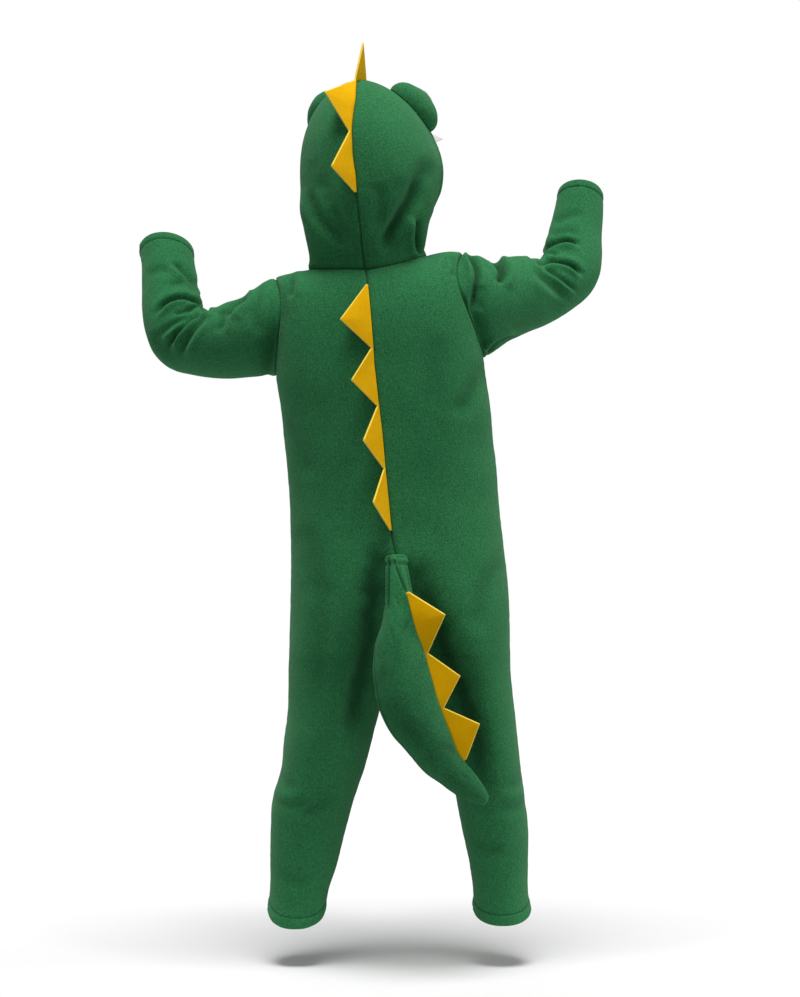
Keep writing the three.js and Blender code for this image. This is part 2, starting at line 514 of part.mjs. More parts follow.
// A wall of cloth on a grid; its borders in `seams` stand half a gap back from the seam.
function wall(name, grid, material, seams, wrap = false, sharp = 1) {
  const rows = grid.length, cols = grid[0].length;
  const normals = grid.map((row) => row.map(normalAt));
  const outer = grid.map((row, i) =>
    row.map((p, j) => {
      const border = i === 0 || i === rows - 1 || (!wrap && (j === 0 || j === cols - 1));
      return border ? p.clone() : fold(name, p, normals[i][j]);
    }),
  );
  const pulled = outer.map((row) => row.map((p) => p.clone()));
  const pull = (i, j, i2, j2, more = 1) => {
    const d = outer[i2][j2].clone().sub(outer[i][j]).normalize();
    const [a, b] = i === i2 ? [outer[Math.max(0, i - 1)][j], outer[Math.min(rows - 1, i + 1)][j]] : [outer[i][wrap ? (j + cols - 1) % cols : Math.max(0, j - 1)], outer[i][wrap ? (j + 1) % cols : Math.min(cols - 1, j + 1)]];
    const square = V().crossVectors(d, b.clone().sub(a).normalize()).length();
    pulled[i][j].addScaledVector(d, (more * GAP * 0.6) / Math.max(0.4, square));
  };
  for (let j = 0; j < cols; j++) {
    if (seams.includes("top")) pull(0, j, 1, j, sharp); // more where two pieces meet at a sharp angle
    if (seams.includes("end")) pull(rows - 1, j, rows - 2, j);
  }
  if (seams.includes("corner")) pull(0, SIDE_COLS, 0, SIDE_COLS - 1); // where the shoulder seam meets the neck seam
  if (!wrap)
    for (let i = 0; i < rows; i++) {
      if (seams.includes("first")) pull(i, 0, i, 1);
      if (seams.includes("last")) pull(i, cols - 1, i, cols - 2);
    }
  const inner = pulled.map((row, i) => row.map((p, j) => p.clone().addScaledVector(normals[i][j], -WALL)));
  between(name, pulled, inner, material, wrap);
  return { outer, normals };
}

// ---------- cloth pieces ----------
const grids = {};
for (const side of ["left", "right"])
  for (const face of [1, -1]) grids[(face > 0 ? "back_" : "front_") + side] = bodyPanel(side, face);
for (const side of ["left", "right"]) {
  const b = grids["back_" + side], f = grids["front_" + side];
  // underarm, up the back of the armhole to the shoulder tip, and down its front
  const loop = [];
  for (let i = YOKE_ROWS; i >= 0; i--) loop.push(b[i][0]);
  for (let i = 1; i < YOKE_ROWS; i++) loop.push(f[i][0]);
  grids["sleeve_" + side] = sleeveGrid(side, loop);
  const neck = b[0].slice(SIDE_COLS).reverse().concat(f[0].slice(SIDE_COLS + 1));
  grids["hood_" + side] = hoodGrid(side, neck);
}
for (const side of ["left", "right"]) {
  const s = side === "left" ? 1 : -1;
  shareNormals(grids["back_" + side], false, -s);
  shareNormals(grids["front_" + side], false, s);
  shareNormals(grids["sleeve_" + side], true, s);
  shareNormals(grids["hood_" + side], false, -s);
}
const built = {};
for (const side of ["left", "right"]) {
  for (const part of ["back_", "front_"]) built[part + side] = wall(part + side, grids[part + side], GREEN, ["top", "first", "last", "corner"]);
  built["sleeve_" + side] = wall("sleeve_" + side, grids["sleeve_" + side], GREEN, ["top"], true);
  built["hood_" + side] = wall("hood_" + side, grids["hood_" + side], GREEN, ["top", "end", "first", "last"], false, 1.3);
}

// The band round the face: it goes on from the hood's front edge.
{
  const n = 2 * NECK_COLS, rows = [93, 100], path = [];
  for (let j = n; j > 0; j--) path.push(["left", (180 * j) / n]);
  for (let j = 0; j <= n; j++) path.push(["right", (180 * j) / n]);
  path[0][1] = path[path.length - 1][1] = 179;
  const outer = rows.map((a, i) => path.map(([side, t]) => hoodPoint(side, i ? a : a + 0.12, t)));
  const inner = rows.map((a, i) =>
    path.map(([side, t], j) => {
      const p = outer[i][j], l = outer[i][Math.max(0, j - 1)], r = outer[i][Math.min(path.length - 1, j + 1)];
      const c = V(0, 0, 0).copy(hoodPoint("left", a, 90)).add(hoodPoint("right", a, 90)).multiplyScalar(0.5);
      const along = r.clone().sub(l), ahead = outer[Math.min(i + 1, 1)][j].clone().sub(outer[Math.max(i - 1, 0)][j]);
      const q = V().crossVectors(along, ahead).normalize();
      if (q.dot(p.clone().sub(c)) < 0) q.negate();
      return p.clone().addScaledVector(q, -WALL);
    }),
  );
  between("hood_band", outer, inner, GREEN);
  // Teeth on the band's front edge, pointing forwards and out.
  const cols = TEETH.count * 4, tips = [], feet = [];
  for (let j = 0; j <= cols; j++) {
    const u = [0, 0.5 - TEETH.width / 2, 0.5, 0.5 + TEETH.width / 2][j % 4];
    const t = mix(-TEETH.reach, TEETH.reach, (Math.floor(j / 4) + u) / TEETH.count), side = t > 0 ? "right" : "left";
    const p = hoodPoint(side, 100.3, Math.abs(t)), q = hoodPoint(side, 93, Math.abs(t));
    const out = hoodNormal(side, 97, Math.max(1, Math.abs(t)));
    if (out.dot(p.clone().sub(V(0, p.y, 110))) < 0) out.negate();
    const dir = p.clone().sub(q).normalize().multiplyScalar(1.25).addScaledVector(out, 0.9).normalize();
    const h = j % 4 === 2 ? TEETH.h : TEETH.base;
    feet.push([p.clone(), out]);
    tips.push([p.clone().addScaledVector(dir, h), out]);
  }
  const face = (k) => [feet, tips].map((row) => row.map(([p, o]) => p.clone().addScaledVector(o, k)));
  between("teeth", face(-0.3), face(-0.3 - 1.8), WHITE);
}

// The lapped strip of the centre-front opening, on the panels' own points.
{
  const l = built.front_left, r = built.front_right, last = SIDE_COLS + NECK_COLS, half = 11, rows = [];
  for (let i = 0; i < YOKE_ROWS + 7; i++) {
    const at = (w, out) => {
      const d = w.outer[i][last - 1].clone().sub(w.outer[i][last]);
      const k = half / d.length();
      const n = w.normals[i][last].clone().lerp(w.normals[i][last - 1], k).normalize();
      return [w.outer[i][last].clone().addScaledVector(d, k), n, out];
    };
    rows.push([at(l), [l.outer[i][last].clone(), l.normals[i][last]], at(r)]);
  }
  rows[0] = rows[0].map(([p, n], j) => [p.clone().lerp(rows[1][j][0], 0.08), n]);
  const lift = (k) => rows.map((row) => row.map(([p, n]) => p.clone().addScaledVector(n, k)));
  between("front_placket", lift(LIFT + WALL), lift(LIFT), GREEN);
}

// ---------- felt spikes ----------
// base(s) gives a place on the seam, its outward direction and the way along; the strip leans off the cloth.
function crest(name, spikes, base, lift, perSpike = 6) {
  const stations = [];
  spikes.forEach((k, i) => {
    for (let j = i ? 1 : 0; j <= perSpike; j++) {
      const mid = 0.5 + k.skew, half = perSpike / 2;
      const u = j <= half ? (mid * j) / half : mid + ((1 - mid) * (j - half)) / half;
      const up = u < mid ? u / mid : (1 - u) / (1 - mid);
      const next = spikes[Math.min(i + 1, spikes.length - 1)], prev = spikes[Math.max(0, i - 1)];
      const lean = u > 0.5 ? mix(k.lean, (k.lean + next.lean) / 2, smooth(0.6, 1, u)) : mix((k.lean + prev.lean) / 2, k.lean, smooth(0, 0.4, u));
      stations.push({ s: mix(k.from, k.to, u), h: STRIP + (k.h - STRIP) * Math.max(0, up), lean });
    }
  });
  for (const st of stations) {
    const { p, out, left, along } = base(st.s);
    const dir = left.clone().multiplyScalar(Math.cos(rad(st.lean))).addScaledVector(out, Math.sin(rad(st.lean)));
    st.flat = V().crossVectors(dir, along).normalize();
    st.foot = p.clone().addScaledVector(out, lift);
    st.rim = st.foot.clone().addScaledVector(dir, st.h);
  }
  // each cut edge runs straight from a spike's foot to its tip
  for (let a = 0; a < stations.length - 1; a += perSpike / 2)
    for (let j = 1; j < perSpike / 2; j++)
      stations[a + j].rim.lerpVectors(stations[a].rim, stations[a + perSpike / 2].rim, j / (perSpike / 2));
  const sides = [[], []];
  const levels = [0, 0.5, 1];
  for (const q of levels) for (const list of sides) list.push([]);
  for (const { foot, rim, flat } of stations) {
    levels.forEach((q, i) => {
      const at = foot.clone().lerp(rim, q);
      const half = (FELT / 2) * (q === 1 ? 0.6 : 1);
      sides[0][i].push(at.clone().addScaledVector(flat, half));
      sides[1][i].push(at.clone().addScaledVector(flat, -half));
    });
  }
  between(name, sides[0], sides[1], YELLOW);
}
function polyline(points, normals, keys) {
  return (s) => {
    const up = keys[keys.length - 1] > keys[0];
    let i = 0;
    while (i < keys.length - 2 && (up ? s > keys[i + 1] : s < keys[i + 1])) i++;
    const t = clamp((s - keys[i]) / (keys[i + 1] - keys[i]), 0, 1);
    const p = points[i].clone().lerp(points[i + 1], t), out = normals[i].clone().lerp(normals[i + 1], t).normalize();
    const along = points[Math.min(i + 2, points.length - 1)].clone().sub(points[Math.max(0, i - 1)]).normalize();
    let left = V().crossVectors(along, out).normalize();
    if (left.x < 0) left.negate();
    return { p, out, left, along };
  };
}
{
  const b = built.back_left, last = SIDE_COLS + NECK_COLS;
  const pts = b.outer.map((r) => r[last]), ns = b.normals.map((r) => r[last]);
  crest("back_crest", BACK_SPIKES, polyline(pts, ns, pts.map((p) => p.z)), FELT / 2 + LIFT + 0.6);
}
{
  const h = built.hood_left;
  crest("hood_crest", HOOD_SPIKES, polyline(h.outer.map((r) => r[0]), h.normals.map((r) => r[0]), HOOD_ANGLES), FELT / 2 + LIFT + 1);
}

// ---------- tail ----------
function tailSection(k) {
  const n = TAIL.length - 1, t = TAIL.map((r, i) => ({ ...r, i }));
  const r = lookup(t, "i", clamp(k, 0, n));
  const a = lookup(t, "i", clamp(k - 0.3, 0, n)), b = lookup(t, "i", clamp(k + 0.3, 0, n));
  const along = V(b.x - a.x, 0, b.z - a.z).normalize();
  const across = V(along.z, 0, -along.x); // towards the garment's right
  if (across.x > 0) across.negate();
  return { r, c: V(r.x, r.y, r.z), across, along };
}
function tailPoint(k, psi) {
  const { r, c, across } = tailSection(k), ang = rad(r.turn + psi);
  const peak = 1 + 0.1 * Math.exp(-Math.pow(((psi + 540) % 360 - 180) / 22, 2));
  return c.clone().addScaledVector(across, r.w * peak * Math.cos(ang)).addScaledVector(V(0, 1, 0), r.d * peak * Math.sin(ang));
}
{
  const pieces = [
    ["tail_right", 0, 180 - UNDER, 6],
    ["tail_under", 180 - UNDER, 180 + UNDER, 2],
    ["tail_left", 180 + UNDER, 360, 6],
  ];
  for (const [name, from, to, n] of pieces) {
    const rows = TAIL.map((_, k) => {
      const c = tailSection(k).c, mid = tailPoint(k, (from + to) / 2);
      const push = mid.clone().sub(c).normalize().multiplyScalar(GAP / 2 / Math.sin(rad(Math.min(90, (to - from) / 2))));
      const ring = [c.clone().add(push)];
      for (let j = 0; j <= n; j++) {
        const p = tailPoint(k, mix(from, to, j / n));
        if (j === 0 || j === n) p.addScaledVector(tailPoint(k, mix(from, to, j ? 1 - 0.5 / n : 0.5 / n)).sub(p).normalize(), GAP / 2);
        ring.push(p);
      }
      return ring;
    });
    const m = rows[0].length, pts = rows.flat(), faces = [];
    for (let i = 0; i < rows.length - 1; i++)
      for (let j = 0; j < m; j++) {
        const a = i * m + j, b = i * m + ((j + 1) % m), c = b + m, d = a + m;
        if (j === m - 1) faces.push([a, b, d], [b, c, d]); // as the neighbour's wall is divided
        else faces.push([a, b, c], [a, c, d]);
      }
    for (let j = 1; j < m - 1; j++) {
      faces.push([0, j + 1, j]);
      const z = (rows.length - 1) * m;
      faces.push([z, z + j, z + j + 1]);
    }
    if (volume(pts, faces) < 0) faces.forEach((f) => f.reverse());
    addMesh(name, pts, faces, GREEN);
  }
  const base = (s) => {
    const p = tailPoint(s, 0), c = tailSection(s).c, along = tailPoint(s + 0.2, 0).sub(tailPoint(s - 0.2, 0)).normalize();
    let out = p.clone().sub(c);
    out.addScaledVector(along, -out.dot(along)).normalize();
    return { p, out, left: V().crossVectors(along, out).normalize(), along };
  };
  crest("tail_crest", TAIL_SPIKES, base, LIFT + 0.6);
}

// ---------- eye pads and eyes ----------
function padPoint(side, u, v, out) {
  const k = PAD[side], d = Math.min(1, Math.hypot(u, v)), a = k.a + k.da * u, t = k.t + k.dt * v;
  const p = hoodPoint(side, a, t), n = hoodNormal(side, a, t);
  const c = hoodPoint(side, 60, 90).add(hoodPoint(side === "left" ? "right" : "left", 60, 90)).multiplyScalar(0.5);
  if (n.dot(p.clone().sub(c)) < 0) n.negate();
  return { p: p.clone().addScaledVector(n, 1 + out * k.h * Math.pow(1 - power(d, 2.4), 1 / 2.0)), n };
}
function padNormal(side, u, v) {
  const e = 0.02, a = padPoint(side, u + e, v, 1).p.sub(padPoint(side, u - e, v, 1).p), b = padPoint(side, u, v + e, 1).p.sub(padPoint(side, u, v - e, 1).p);
  const n = V().crossVectors(a, b).normalize();
  return n.dot(padPoint(side, u, v, 1).n) < 0 ? n.negate() : n;
}
// A closed disc: a centre, rings and one rim, with an upper and a lower face.
function disc(name, rings, spokes, upper, lower, material, sharp) {
  const pts = [upper(0, 0), lower(0, 0)], faces = [], id = [[], []];
  for (let i = 1; i <= rings; i++)
    for (let k = 0; k < 2; k++) {
      const row = [];
      for (let j = 0; j < spokes; j++) {
        const q = (2 * Math.PI * j) / spokes, u = (i / rings) * Math.cos(q), v = (i / rings) * Math.sin(q);
        if (sharp && i === rings && k === 1) row.push(id[0][i - 1][j]);
        else row.push(pts.push((k ? lower : upper)(u, v)) - 1);
      }
      id[k].push(row);
    }
  for (let k = 0; k < 2; k++)
    for (let j = 0; j < spokes; j++) {
      const j2 = (j + 1) % spokes, tri = (a, b, c) => faces.push(k ? [a, c, b] : [a, b, c]);
      tri(k, id[k][0][j], id[k][0][j2]);
      for (let i = 0; i < rings - 1; i++) {
        tri(id[k][i][j], id[k][i + 1][j], id[k][i + 1][j2]);
        tri(id[k][i][j], id[k][i + 1][j2], id[k][i][j2]);
      }
    }
  if (!sharp)
    for (let j = 0; j < spokes; j++) {
      const j2 = (j + 1) % spokes, a = id[0][rings - 1][j], b = id[0][rings - 1][j2], c = id[1][rings - 1][j2], d = id[1][rings - 1][j];
      faces.push([a, d, c], [a, c, b]);
    }
  if (volume(pts, faces) < 0) faces.forEach((f) => f.reverse());
  addMesh(name, pts, faces, material);
}
for (const side of ["left", "right"]) {
  disc("eye_pad_" + side, 4, 14, (u, v) => padPoint(side, u, v, 1).p, (u, v) => padPoint(side, u, v, 0).p, GREEN, true);
  const eye = (r, lift) => (u, v) => {
    const a = 0.54 + r * u * 0.95, b = -0.2 + r * v, q = padPoint(side, a, b, 1).p;
    return q.addScaledVector(padNormal(side, a, b), lift);
  };
  disc("eye_white_" + side, 2, 12, eye(0.36, 0.8 + 1.6), eye(0.36, 0.8), WHITE, false);
  disc("eye_pupil_" + side, 1, 10, eye(0.17, 3 + 1.4), eye(0.17, 3), BLACK, false);
}

export default root;
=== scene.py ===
# Hooded dragon jumpsuit in a small size, seen from behind. The cloth is made on the part's own sizes, at a finer pitch.
import bpy
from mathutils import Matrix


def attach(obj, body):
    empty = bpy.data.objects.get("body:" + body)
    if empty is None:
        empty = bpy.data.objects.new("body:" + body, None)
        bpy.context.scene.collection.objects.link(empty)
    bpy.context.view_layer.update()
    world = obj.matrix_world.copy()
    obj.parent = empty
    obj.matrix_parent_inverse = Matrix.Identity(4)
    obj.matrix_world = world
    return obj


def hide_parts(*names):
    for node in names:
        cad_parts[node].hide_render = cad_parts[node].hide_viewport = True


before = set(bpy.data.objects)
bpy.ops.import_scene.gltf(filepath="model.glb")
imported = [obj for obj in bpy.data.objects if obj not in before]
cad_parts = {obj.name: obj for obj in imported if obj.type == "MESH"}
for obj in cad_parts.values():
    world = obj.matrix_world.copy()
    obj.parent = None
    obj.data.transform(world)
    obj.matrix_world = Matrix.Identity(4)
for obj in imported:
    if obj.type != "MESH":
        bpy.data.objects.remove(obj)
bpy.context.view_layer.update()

import bpy
import math
import numpy as np

MM = 0.001

# ---------- driving sizes, in millimetres, as in the part ----------
WALL, FELT = 2.0, 2.4
NECK_WIDTH, NECK_DEPTH, NECK_TURN, NECK_POWER = 78.0, 62.0, 2.7, 2.2
NECK_RISE, NECK_DROP = 21.5, 7.0  # how far the neck seam climbs to the garment's right, and how low it sits at the back
YOKE_POWER, CRUTCH = 2.6, 6.0
ARMHOLE = {"left": dict(depth=66.0, bow=0.4, start=0.2), "right": dict(depth=78.0, bow=0.33, start=0.3)}
SIDE_SHARE = 4 / 9  # share of a panel's row from the side to below the neck side
UNDERARM = {"left": -143.6, "right": -121.0}
SHOULDER = {"left": dict(tip=-14.6, x=123.0, crown=0.6), "right": dict(tip=18.6, x=-126.0, crown=3.0)}
TIP_X = {"left": 117.5, "right": -149.0}
HEM_DROP = {"from": -775.0, "to": -850.0, "left": 0.42, "right": 0.33}
CHEST_Z, CROTCH, HEM_Z = -132.3, -515.4, -850.0


def table(names, rows):
    """Rows under named columns, as arrays."""
    cols = np.array(rows, float).T
    return dict(zip(names.split(), cols))


BODY = table("z xp ip iq xn b f n xs xf", [
    (-100, 124.5, -73, 48, -152, 90, 88, 2.9, -5, -18),
    (-144, 120.5, -77, 46, -156, 92, 92, 2.8, -10, -23),
    (-189, 114.5, -85, 38, -162, 93, 96, 2.6, -15, -32),
    (-229, 110.5, -89, 35, -165, 93, 99, 2.5, -19.5, -36),
    (-269, 106.5, -92, 31, -170, 93, 101, 2.45, -23, -41),
    (-309, 103.7, -92, 25, -173, 94, 102, 2.4, -27, -43),
    (-348, 102.4, -88, 14, -177, 97, 102, 2.4, -31, -44),
    (-388, 101.1, -80, 0, -182, 101, 101, 2.4, -38, -45),
    (-428, 101.1, -69, -16, -186, 104, 99, 2.35, -43, -47),
    (-468, 102.4, -58, -36, -188, 104, 96, 2.3, -48, -49),
    (-508, 104.5, -46, -58, -189, 99, 91, 2.3, -52, -52),
    (-528, 105, -36, -68, -190, 93, 87, 2.25, -52, -52),
    (-548, 105, -26.5, -79, -191.5, 87, 84, 2.25, -52, -52),
    (-588, 106.4, -14.5, -94, -195.5, 80, 79, 2.2, -52, -52),
    (-628, 111.5, -4, -102, -199.5, 75, 75, 2.2, -52, -52),
    (-668, 116, 6.7, -110, -203.5, 70, 71, 2.2, -52, -52),
    (-708, 127.5, 20, -118.5, -207.5, 65, 67, 2.2, -52, -52),
    (-748, 129.5, 30.5, -126.5, -211.5, 60, 62, 2.2, -52, -52),
    (-788, 130.5, 40, -134.5, -212, 55, 57, 2.2, -52, -52),
    (-828, 131, 53, -139.5, -213, 50, 53, 2.2, -52, -52),
    (-852, 134.5, 56, -138.5, -217, 49, 51, 2.2, -52, -52),
])
SLEEVE = {
    "left": table("xi zi xo zo y d", [
        (141, -21, 139, -142, -3, 60), (162, -35, 162, -144, -13, 55), (185, -44, 187, -145, -27, 50),
        (208, -53, 213, -143, -41, 45.5), (222, -52, 241, -138, -55, 42), (228, -43, 266, -131, -64, 41),
        (231, -34, 286, -114, -74, 41), (233, -25, 299, -88, -86, 40), (235, -13, 306, -57, -101, 39),
        (237, 1, 310, -23, -118, 38), (241, 18, 313, 11, -137, 37.5), (243, 32, 318, 40, -154, 37.5),
    ]),
    "right": table("xi zi xo zo y d", [
        (-146, 15, -165, -114, -2, 60), (-165, 9, -180, -103, -11, 55), (-183, 16, -195, -93, -23, 49.5),
        (-201, 19, -213, -84, -36, 45), (-218, 15, -235, -75, -51, 40), (-228, 14, -257, -63, -62, 39),
        (-233, 18, -279, -48, -73, 38), (-236, 24, -298, -31, -85, 37), (-239, 34, -311, -8, -98, 36),
        (-243, 48, -317, 18, -113, 35), (-249, 67, -319, 47, -130, 34), (-256, 93, -323, 80, -149, 33),
        (-262, 120, -325, 111, -168, 33),
    ]),
}
THROAT = dict(y=-74.0, z=-4.0, r=12.0)
HOOD = table("a r w n q m", [
    (0, 136, 78, 2.2, 2.2, 2.2), (8, 147, 77, 2.2, 2.2, 2.2), (18, 169, 78, 2.15, 2.15, 2.2), (33, 206, 83.5, 2.0, 2.0, 2.1),
    (50, 249, 88, 2.0, 1.9, 2.0), (62, 265, 91, 2.1, 1.75, 2.0), (73, 266, 91, 2.1, 1.65, 1.85), (84, 254, 90, 2.1, 1.78, 1.75),
    (93, 238, 85.5, 2.0, 2.05, 1.65), (100, 227, 85.5, 2.0, 2.05, 1.6),
])
HOOD_YAW, HOOD_ROLL, HOOD_SHIFT, HOOD_FREE = 14.0, 5.0, -9.0, (15.0, 150.0)
# How far the back of the hood is drawn to the garment's left at each height, as its centre seam shows.
HOOD_SWAY = table("z dx", [(-5, 0), (28, 5.3), (61, 5.4), (90, 0.8), (114, -5), (149, -7.5), (170, -7.2), (195, -8.5), (217, -9), (238, -5), (252, 0)])
# Spikes: place on the seam, height, lean off the cloth, shift of the tip, and how much the felt curls and twists.
SPIKE = "from to h lean skew curl"
HOOD_SPIKES = table(SPIKE, [
    (29, 46.5, 41.7, 62, -0.07, 4), (46.5, 67, 44.5, 49, -0.13, -6), (67, 82, 46, 104, 0.01, 3),
])
BACK_SPIKES = table(SPIKE, [
    (-30, -112, 42, 26, 0.055, 7), (-113, -187, 39, 39, 0.02, -5), (-188, -268, 38.5, 55, 0.02, 6), (-269, -348, 40, 62.5, 0.03, -4),
])
TAIL_SPIKES = table(SPIKE, [
    (1.72, 4.12, 45, 92, -0.01, 5), (4.15, 6.32, 34, 90, -0.05, -4), (6.35, 9.0, 37, 92, -0.13, 4),
])
STRIP = 2.0
TAIL = table("i x y z w d turn", [(i, *row) for i, row in enumerate([
    (-37.5, 108, -382, 13, 4.5, 85), (-39, 117, -406, 15.3, 11, 70), (-42, 125, -437, 17.9, 17, 52),
    (-41, 132, -468, 22, 24, 28), (-40, 138, -503, 31.2, 30, 12), (-46, 142, -547, 35.6, 33, 5),
    (-57.5, 141, -583, 35, 33, 5), (-76.5, 136, -615, 29.8, 29, 5), (-91.8, 130, -640, 25, 24, 5),
    (-109, 123, -659, 20.4, 18, 5), (-127.5, 117, -676.5, 17, 14, 5), (-143, 111, -689.5, 12.5, 10, 5), (-151, 108, -696, 8, 6.5, 5),
])])
UNDER = 26.0
PAD = {1: dict(a=84.5, t=41.5, da=8.0, dt=18.5, h=21.0), -1: dict(a=83.5, t=43.5, da=8.5, dt=19.5, h=24.0)}
TEETH = dict(count=6, reach=63.0, h=24.0, base=3.0, width=0.46)

# Troughs from (x1, z1) to (x2, z2), in the part's own order. depth is positive for a trough.
FOLDS = table("x1 z1 x2 z2 depth width", [
    (-82, 132, -22, 22, 7, 20), (-42, 104, -10, 42, 3, 16), (-96, 62, -84, 8, 6, 20), (62, 108, 30, 24, 4, 18), (92, 62, 82, 6, 2.5, 20),
    (107, -200, 76, -275, 3.5, 18), (-158, -130, -120, -190, 3, 18),
    (104, -190, 60, -265, 4, 20), (-150, -170, -110, -240, 4, 20),
])
FOLD_ON = ["hood_right", "hood_right", "hood_right", "hood_left", "hood_left", "back_left", "back_right", "front_left", "front_right"]


# ---------- numbers ----------
def rad(d):
    return np.radians(d)


def mix(a, b, t):
    return a + (b - a) * t


def smooth(a, b, x):
    t = np.clip((x - a) / (b - a), 0, 1)
    return t * t * (3 - 2 * t)


def power(x, e):
    return np.abs(x) ** e


def unit(v):
    return v / np.maximum(np.linalg.norm(v, axis=-1, keepdims=True), 1e-12)


def lookup(t, key, at):
    """All columns at values of the key column, on a smooth curve through the rows."""
    k = t[key]
    at = np.asarray(at, float)
    s = 1 if k[-1] > k[0] else -1
    n = len(k)
    p = np.clip(np.searchsorted(s * k[1:], s * at, side="left"), 0, n - 2)
    q, o, r = p + 1, np.maximum(0, p - 1), np.minimum(n - 1, p + 2)
    h = k[q] - k[p]
    u = np.clip((at - k[p]) / h, 0, 1)
    out = {}
    for c, v in t.items():
        m0 = np.where(o == p, v[q] - v[p], (v[q] - v[o]) * h / (k[q] - k[o]))
        m1 = np.where(r == q, v[q] - v[p], (v[r] - v[p]) * h / (k[r] - k[p]))
        out[c] = v[p] * (1 + u * u * (2 * u - 3)) + m0 * u * (1 - u) ** 2 + v[q] * u * u * (3 - 2 * u) - m1 * u * u * (1 - u)
    out[key] = at
    return out


def graded(length, step, first=0.4, start=True, end=False, growth=1.4):
    """Places along a length from 0 to 1, closer together at the marked ends."""
    def ramp():
        out, d = [0.0], first
        while d < step:
            out.append(out[-1] + d)
            d *= growth
        return np.array(out)
    a = ramp() if start else np.array([0.0])
    b = ramp() if end else np.array([0.0])
    rest = length - a[-1] - b[-1]
    n = max(1, int(round(rest / step)))
    mid = a[-1] + rest * np.arange(1, n) / n
    return np.concatenate([a, mid, (length - b)[::-1]]) / length


def spread(rows, fractions):
    """Each row of points again, at these fractions of its length."""
    seg = np.linalg.norm(np.diff(rows, axis=1), axis=2)
    run = np.concatenate([np.zeros((len(rows), 1)), np.cumsum(seg, axis=1)], axis=1)
    out = np.empty((len(rows), len(fractions), 3))
    for i in range(len(rows)):
        for c in range(3):
            out[i, :, c] = np.interp(fractions * run[i, -1], run[i], rows[i, :, c])
    return out


def outwards(f, step, far):
    """How far out f first reaches 1, no farther than far."""
    lo, hi = np.zeros_like(far), np.minimum(step, far)
    going = np.ones(far.shape, bool)
    while going.any():
        going = going & (f(hi) < 1) & (hi < far)
        lo = np.where(going, hi, lo)
        hi = np.where(going, np.minimum(hi + step, far), hi)
    for _ in range(20):
        m = (lo + hi) / 2
        inside = f(m) < 1
        lo, hi = np.where(inside, m, lo), np.where(inside, hi, m)
    return (lo + hi) / 2


_lattice = np.random.default_rng(11).random((24, 24, 24)) * 2 - 1


def noise(p):
    """Smooth value noise from -1 to 1, with a period of about 1."""
    i = np.floor(p).astype(int)
    f = p - i
    f = f * f * (3 - 2 * f)
    out = 0
    for dx in (0, 1):
        for dy in (0, 1):
            for dz in (0, 1):
                w = (f[..., 0] if dx else 1 - f[..., 0]) * (f[..., 1] if dy else 1 - f[..., 1]) * (f[..., 2] if dz else 1 - f[..., 2])
                out = out + w * _lattice[(i[..., 0] + dx) % 24, (i[..., 1] + dy) % 24, (i[..., 2] + dz) % 24]
    return out


def noise1(s, row):
    return noise(np.stack([s, np.full_like(s, row + 0.5), np.full_like(s, 0.5)], axis=-1))


# ---------- the body ----------
def body_field(x, y, z):
    r = lookup(BODY, "z", z)
    d = np.where(y > 0, r["b"], r["f"])

    def tube(outer, inner):
        a, c = np.abs(outer - inner) / 2, (outer + inner) / 2
        return np.maximum(1e-6, (power((x - c) / a, r["n"]) + power(y / d, r["n"])) ** (1 / r["n"]))

    return (tube(r["xp"], r["ip"]) ** -CRUTCH + tube(r["xn"], r["iq"]) ** -CRUTCH) ** (-1 / CRUTCH)


def slope(z):
    return (UNDERARM["left"] - UNDERARM["right"]) / 277 * smooth(-400, -150, z)


def tilted(z, x):
    return z + slope(z) * (x + 16)


STEPS = 168


def body_rows(side, face, levels):
    """Half sections from the side seam to the centre seam, or to the inseam below the crutch."""
    s = 1 if side == "left" else -1
    z = np.asarray(levels, float)[:, None]
    r = lookup(BODY, "z", z)
    outer, inner = (r["xp"], r["ip"]) if s > 0 else (r["xn"], r["iq"])
    cx = (outer + inner) / 2
    xs = r["xs"] if face > 0 else r["xf"]
    whole = z > CROTCH + 1e-6
    zs = tilted(z, xs)
    ys = outwards(lambda q: body_field(xs, face * q, zs), 4.0, np.full(z.shape, 200.0))
    end = np.where(whole, np.arctan2(ys, s * (xs - cx)), np.pi)
    phi = end * np.linspace(0, 1, STEPS + 1)[None, :]
    c, q = s * np.cos(phi), face * np.sin(phi)
    plane = (xs - cx) / np.where(np.abs(c) < 1e-9, 1e-9, c)
    limit = np.where(plane > 0, plane, 300.0)
    far = outwards(lambda t: body_field(cx + c * t, q * t, tilted(z, cx + c * t)), 6.0, limit)
    x = cx + c * far
    y = q * far
    y[:, 0] = 0
    y[:, -1] = np.where(whole[:, 0], face * ys[:, 0], 0)
    x[:, -1] = np.where(whole[:, 0], xs[:, 0], x[:, -1])
    at_crotch = np.abs(z[:, 0] - CROTCH) < 1e-6
    x[at_crotch, -1], y[at_crotch, -1] = xs[at_crotch, 0], 0
    return np.stack([x, y, tilted(z + 0 * x, x)], axis=-1)


def chest_level(x):
    return tilted(CHEST_Z, x)


CHEST = {(s, f): spread(body_rows(s, f, [CHEST_Z]), np.linspace(0, 1, 201))[0] for s in ("left", "right") for f in (1, -1)}


def chest_depth(x, face):
    x = np.asarray(x, float)
    return outwards(lambda q: body_field(x, face * q, chest_level(x)), 5.0, np.full(x.shape, 200.0))


def chest_x(depth, side, face):
    row = CHEST[side, face]
    top = int(np.argmax(np.abs(row[:, 1]) > 80)) or 200
    return np.interp(depth, np.abs(row[: top + 1, 1]), row[: top + 1, 0])


LEAN = {k: SHOULDER[k]["x"] / TIP_X[k] - 1 for k in TIP_X}


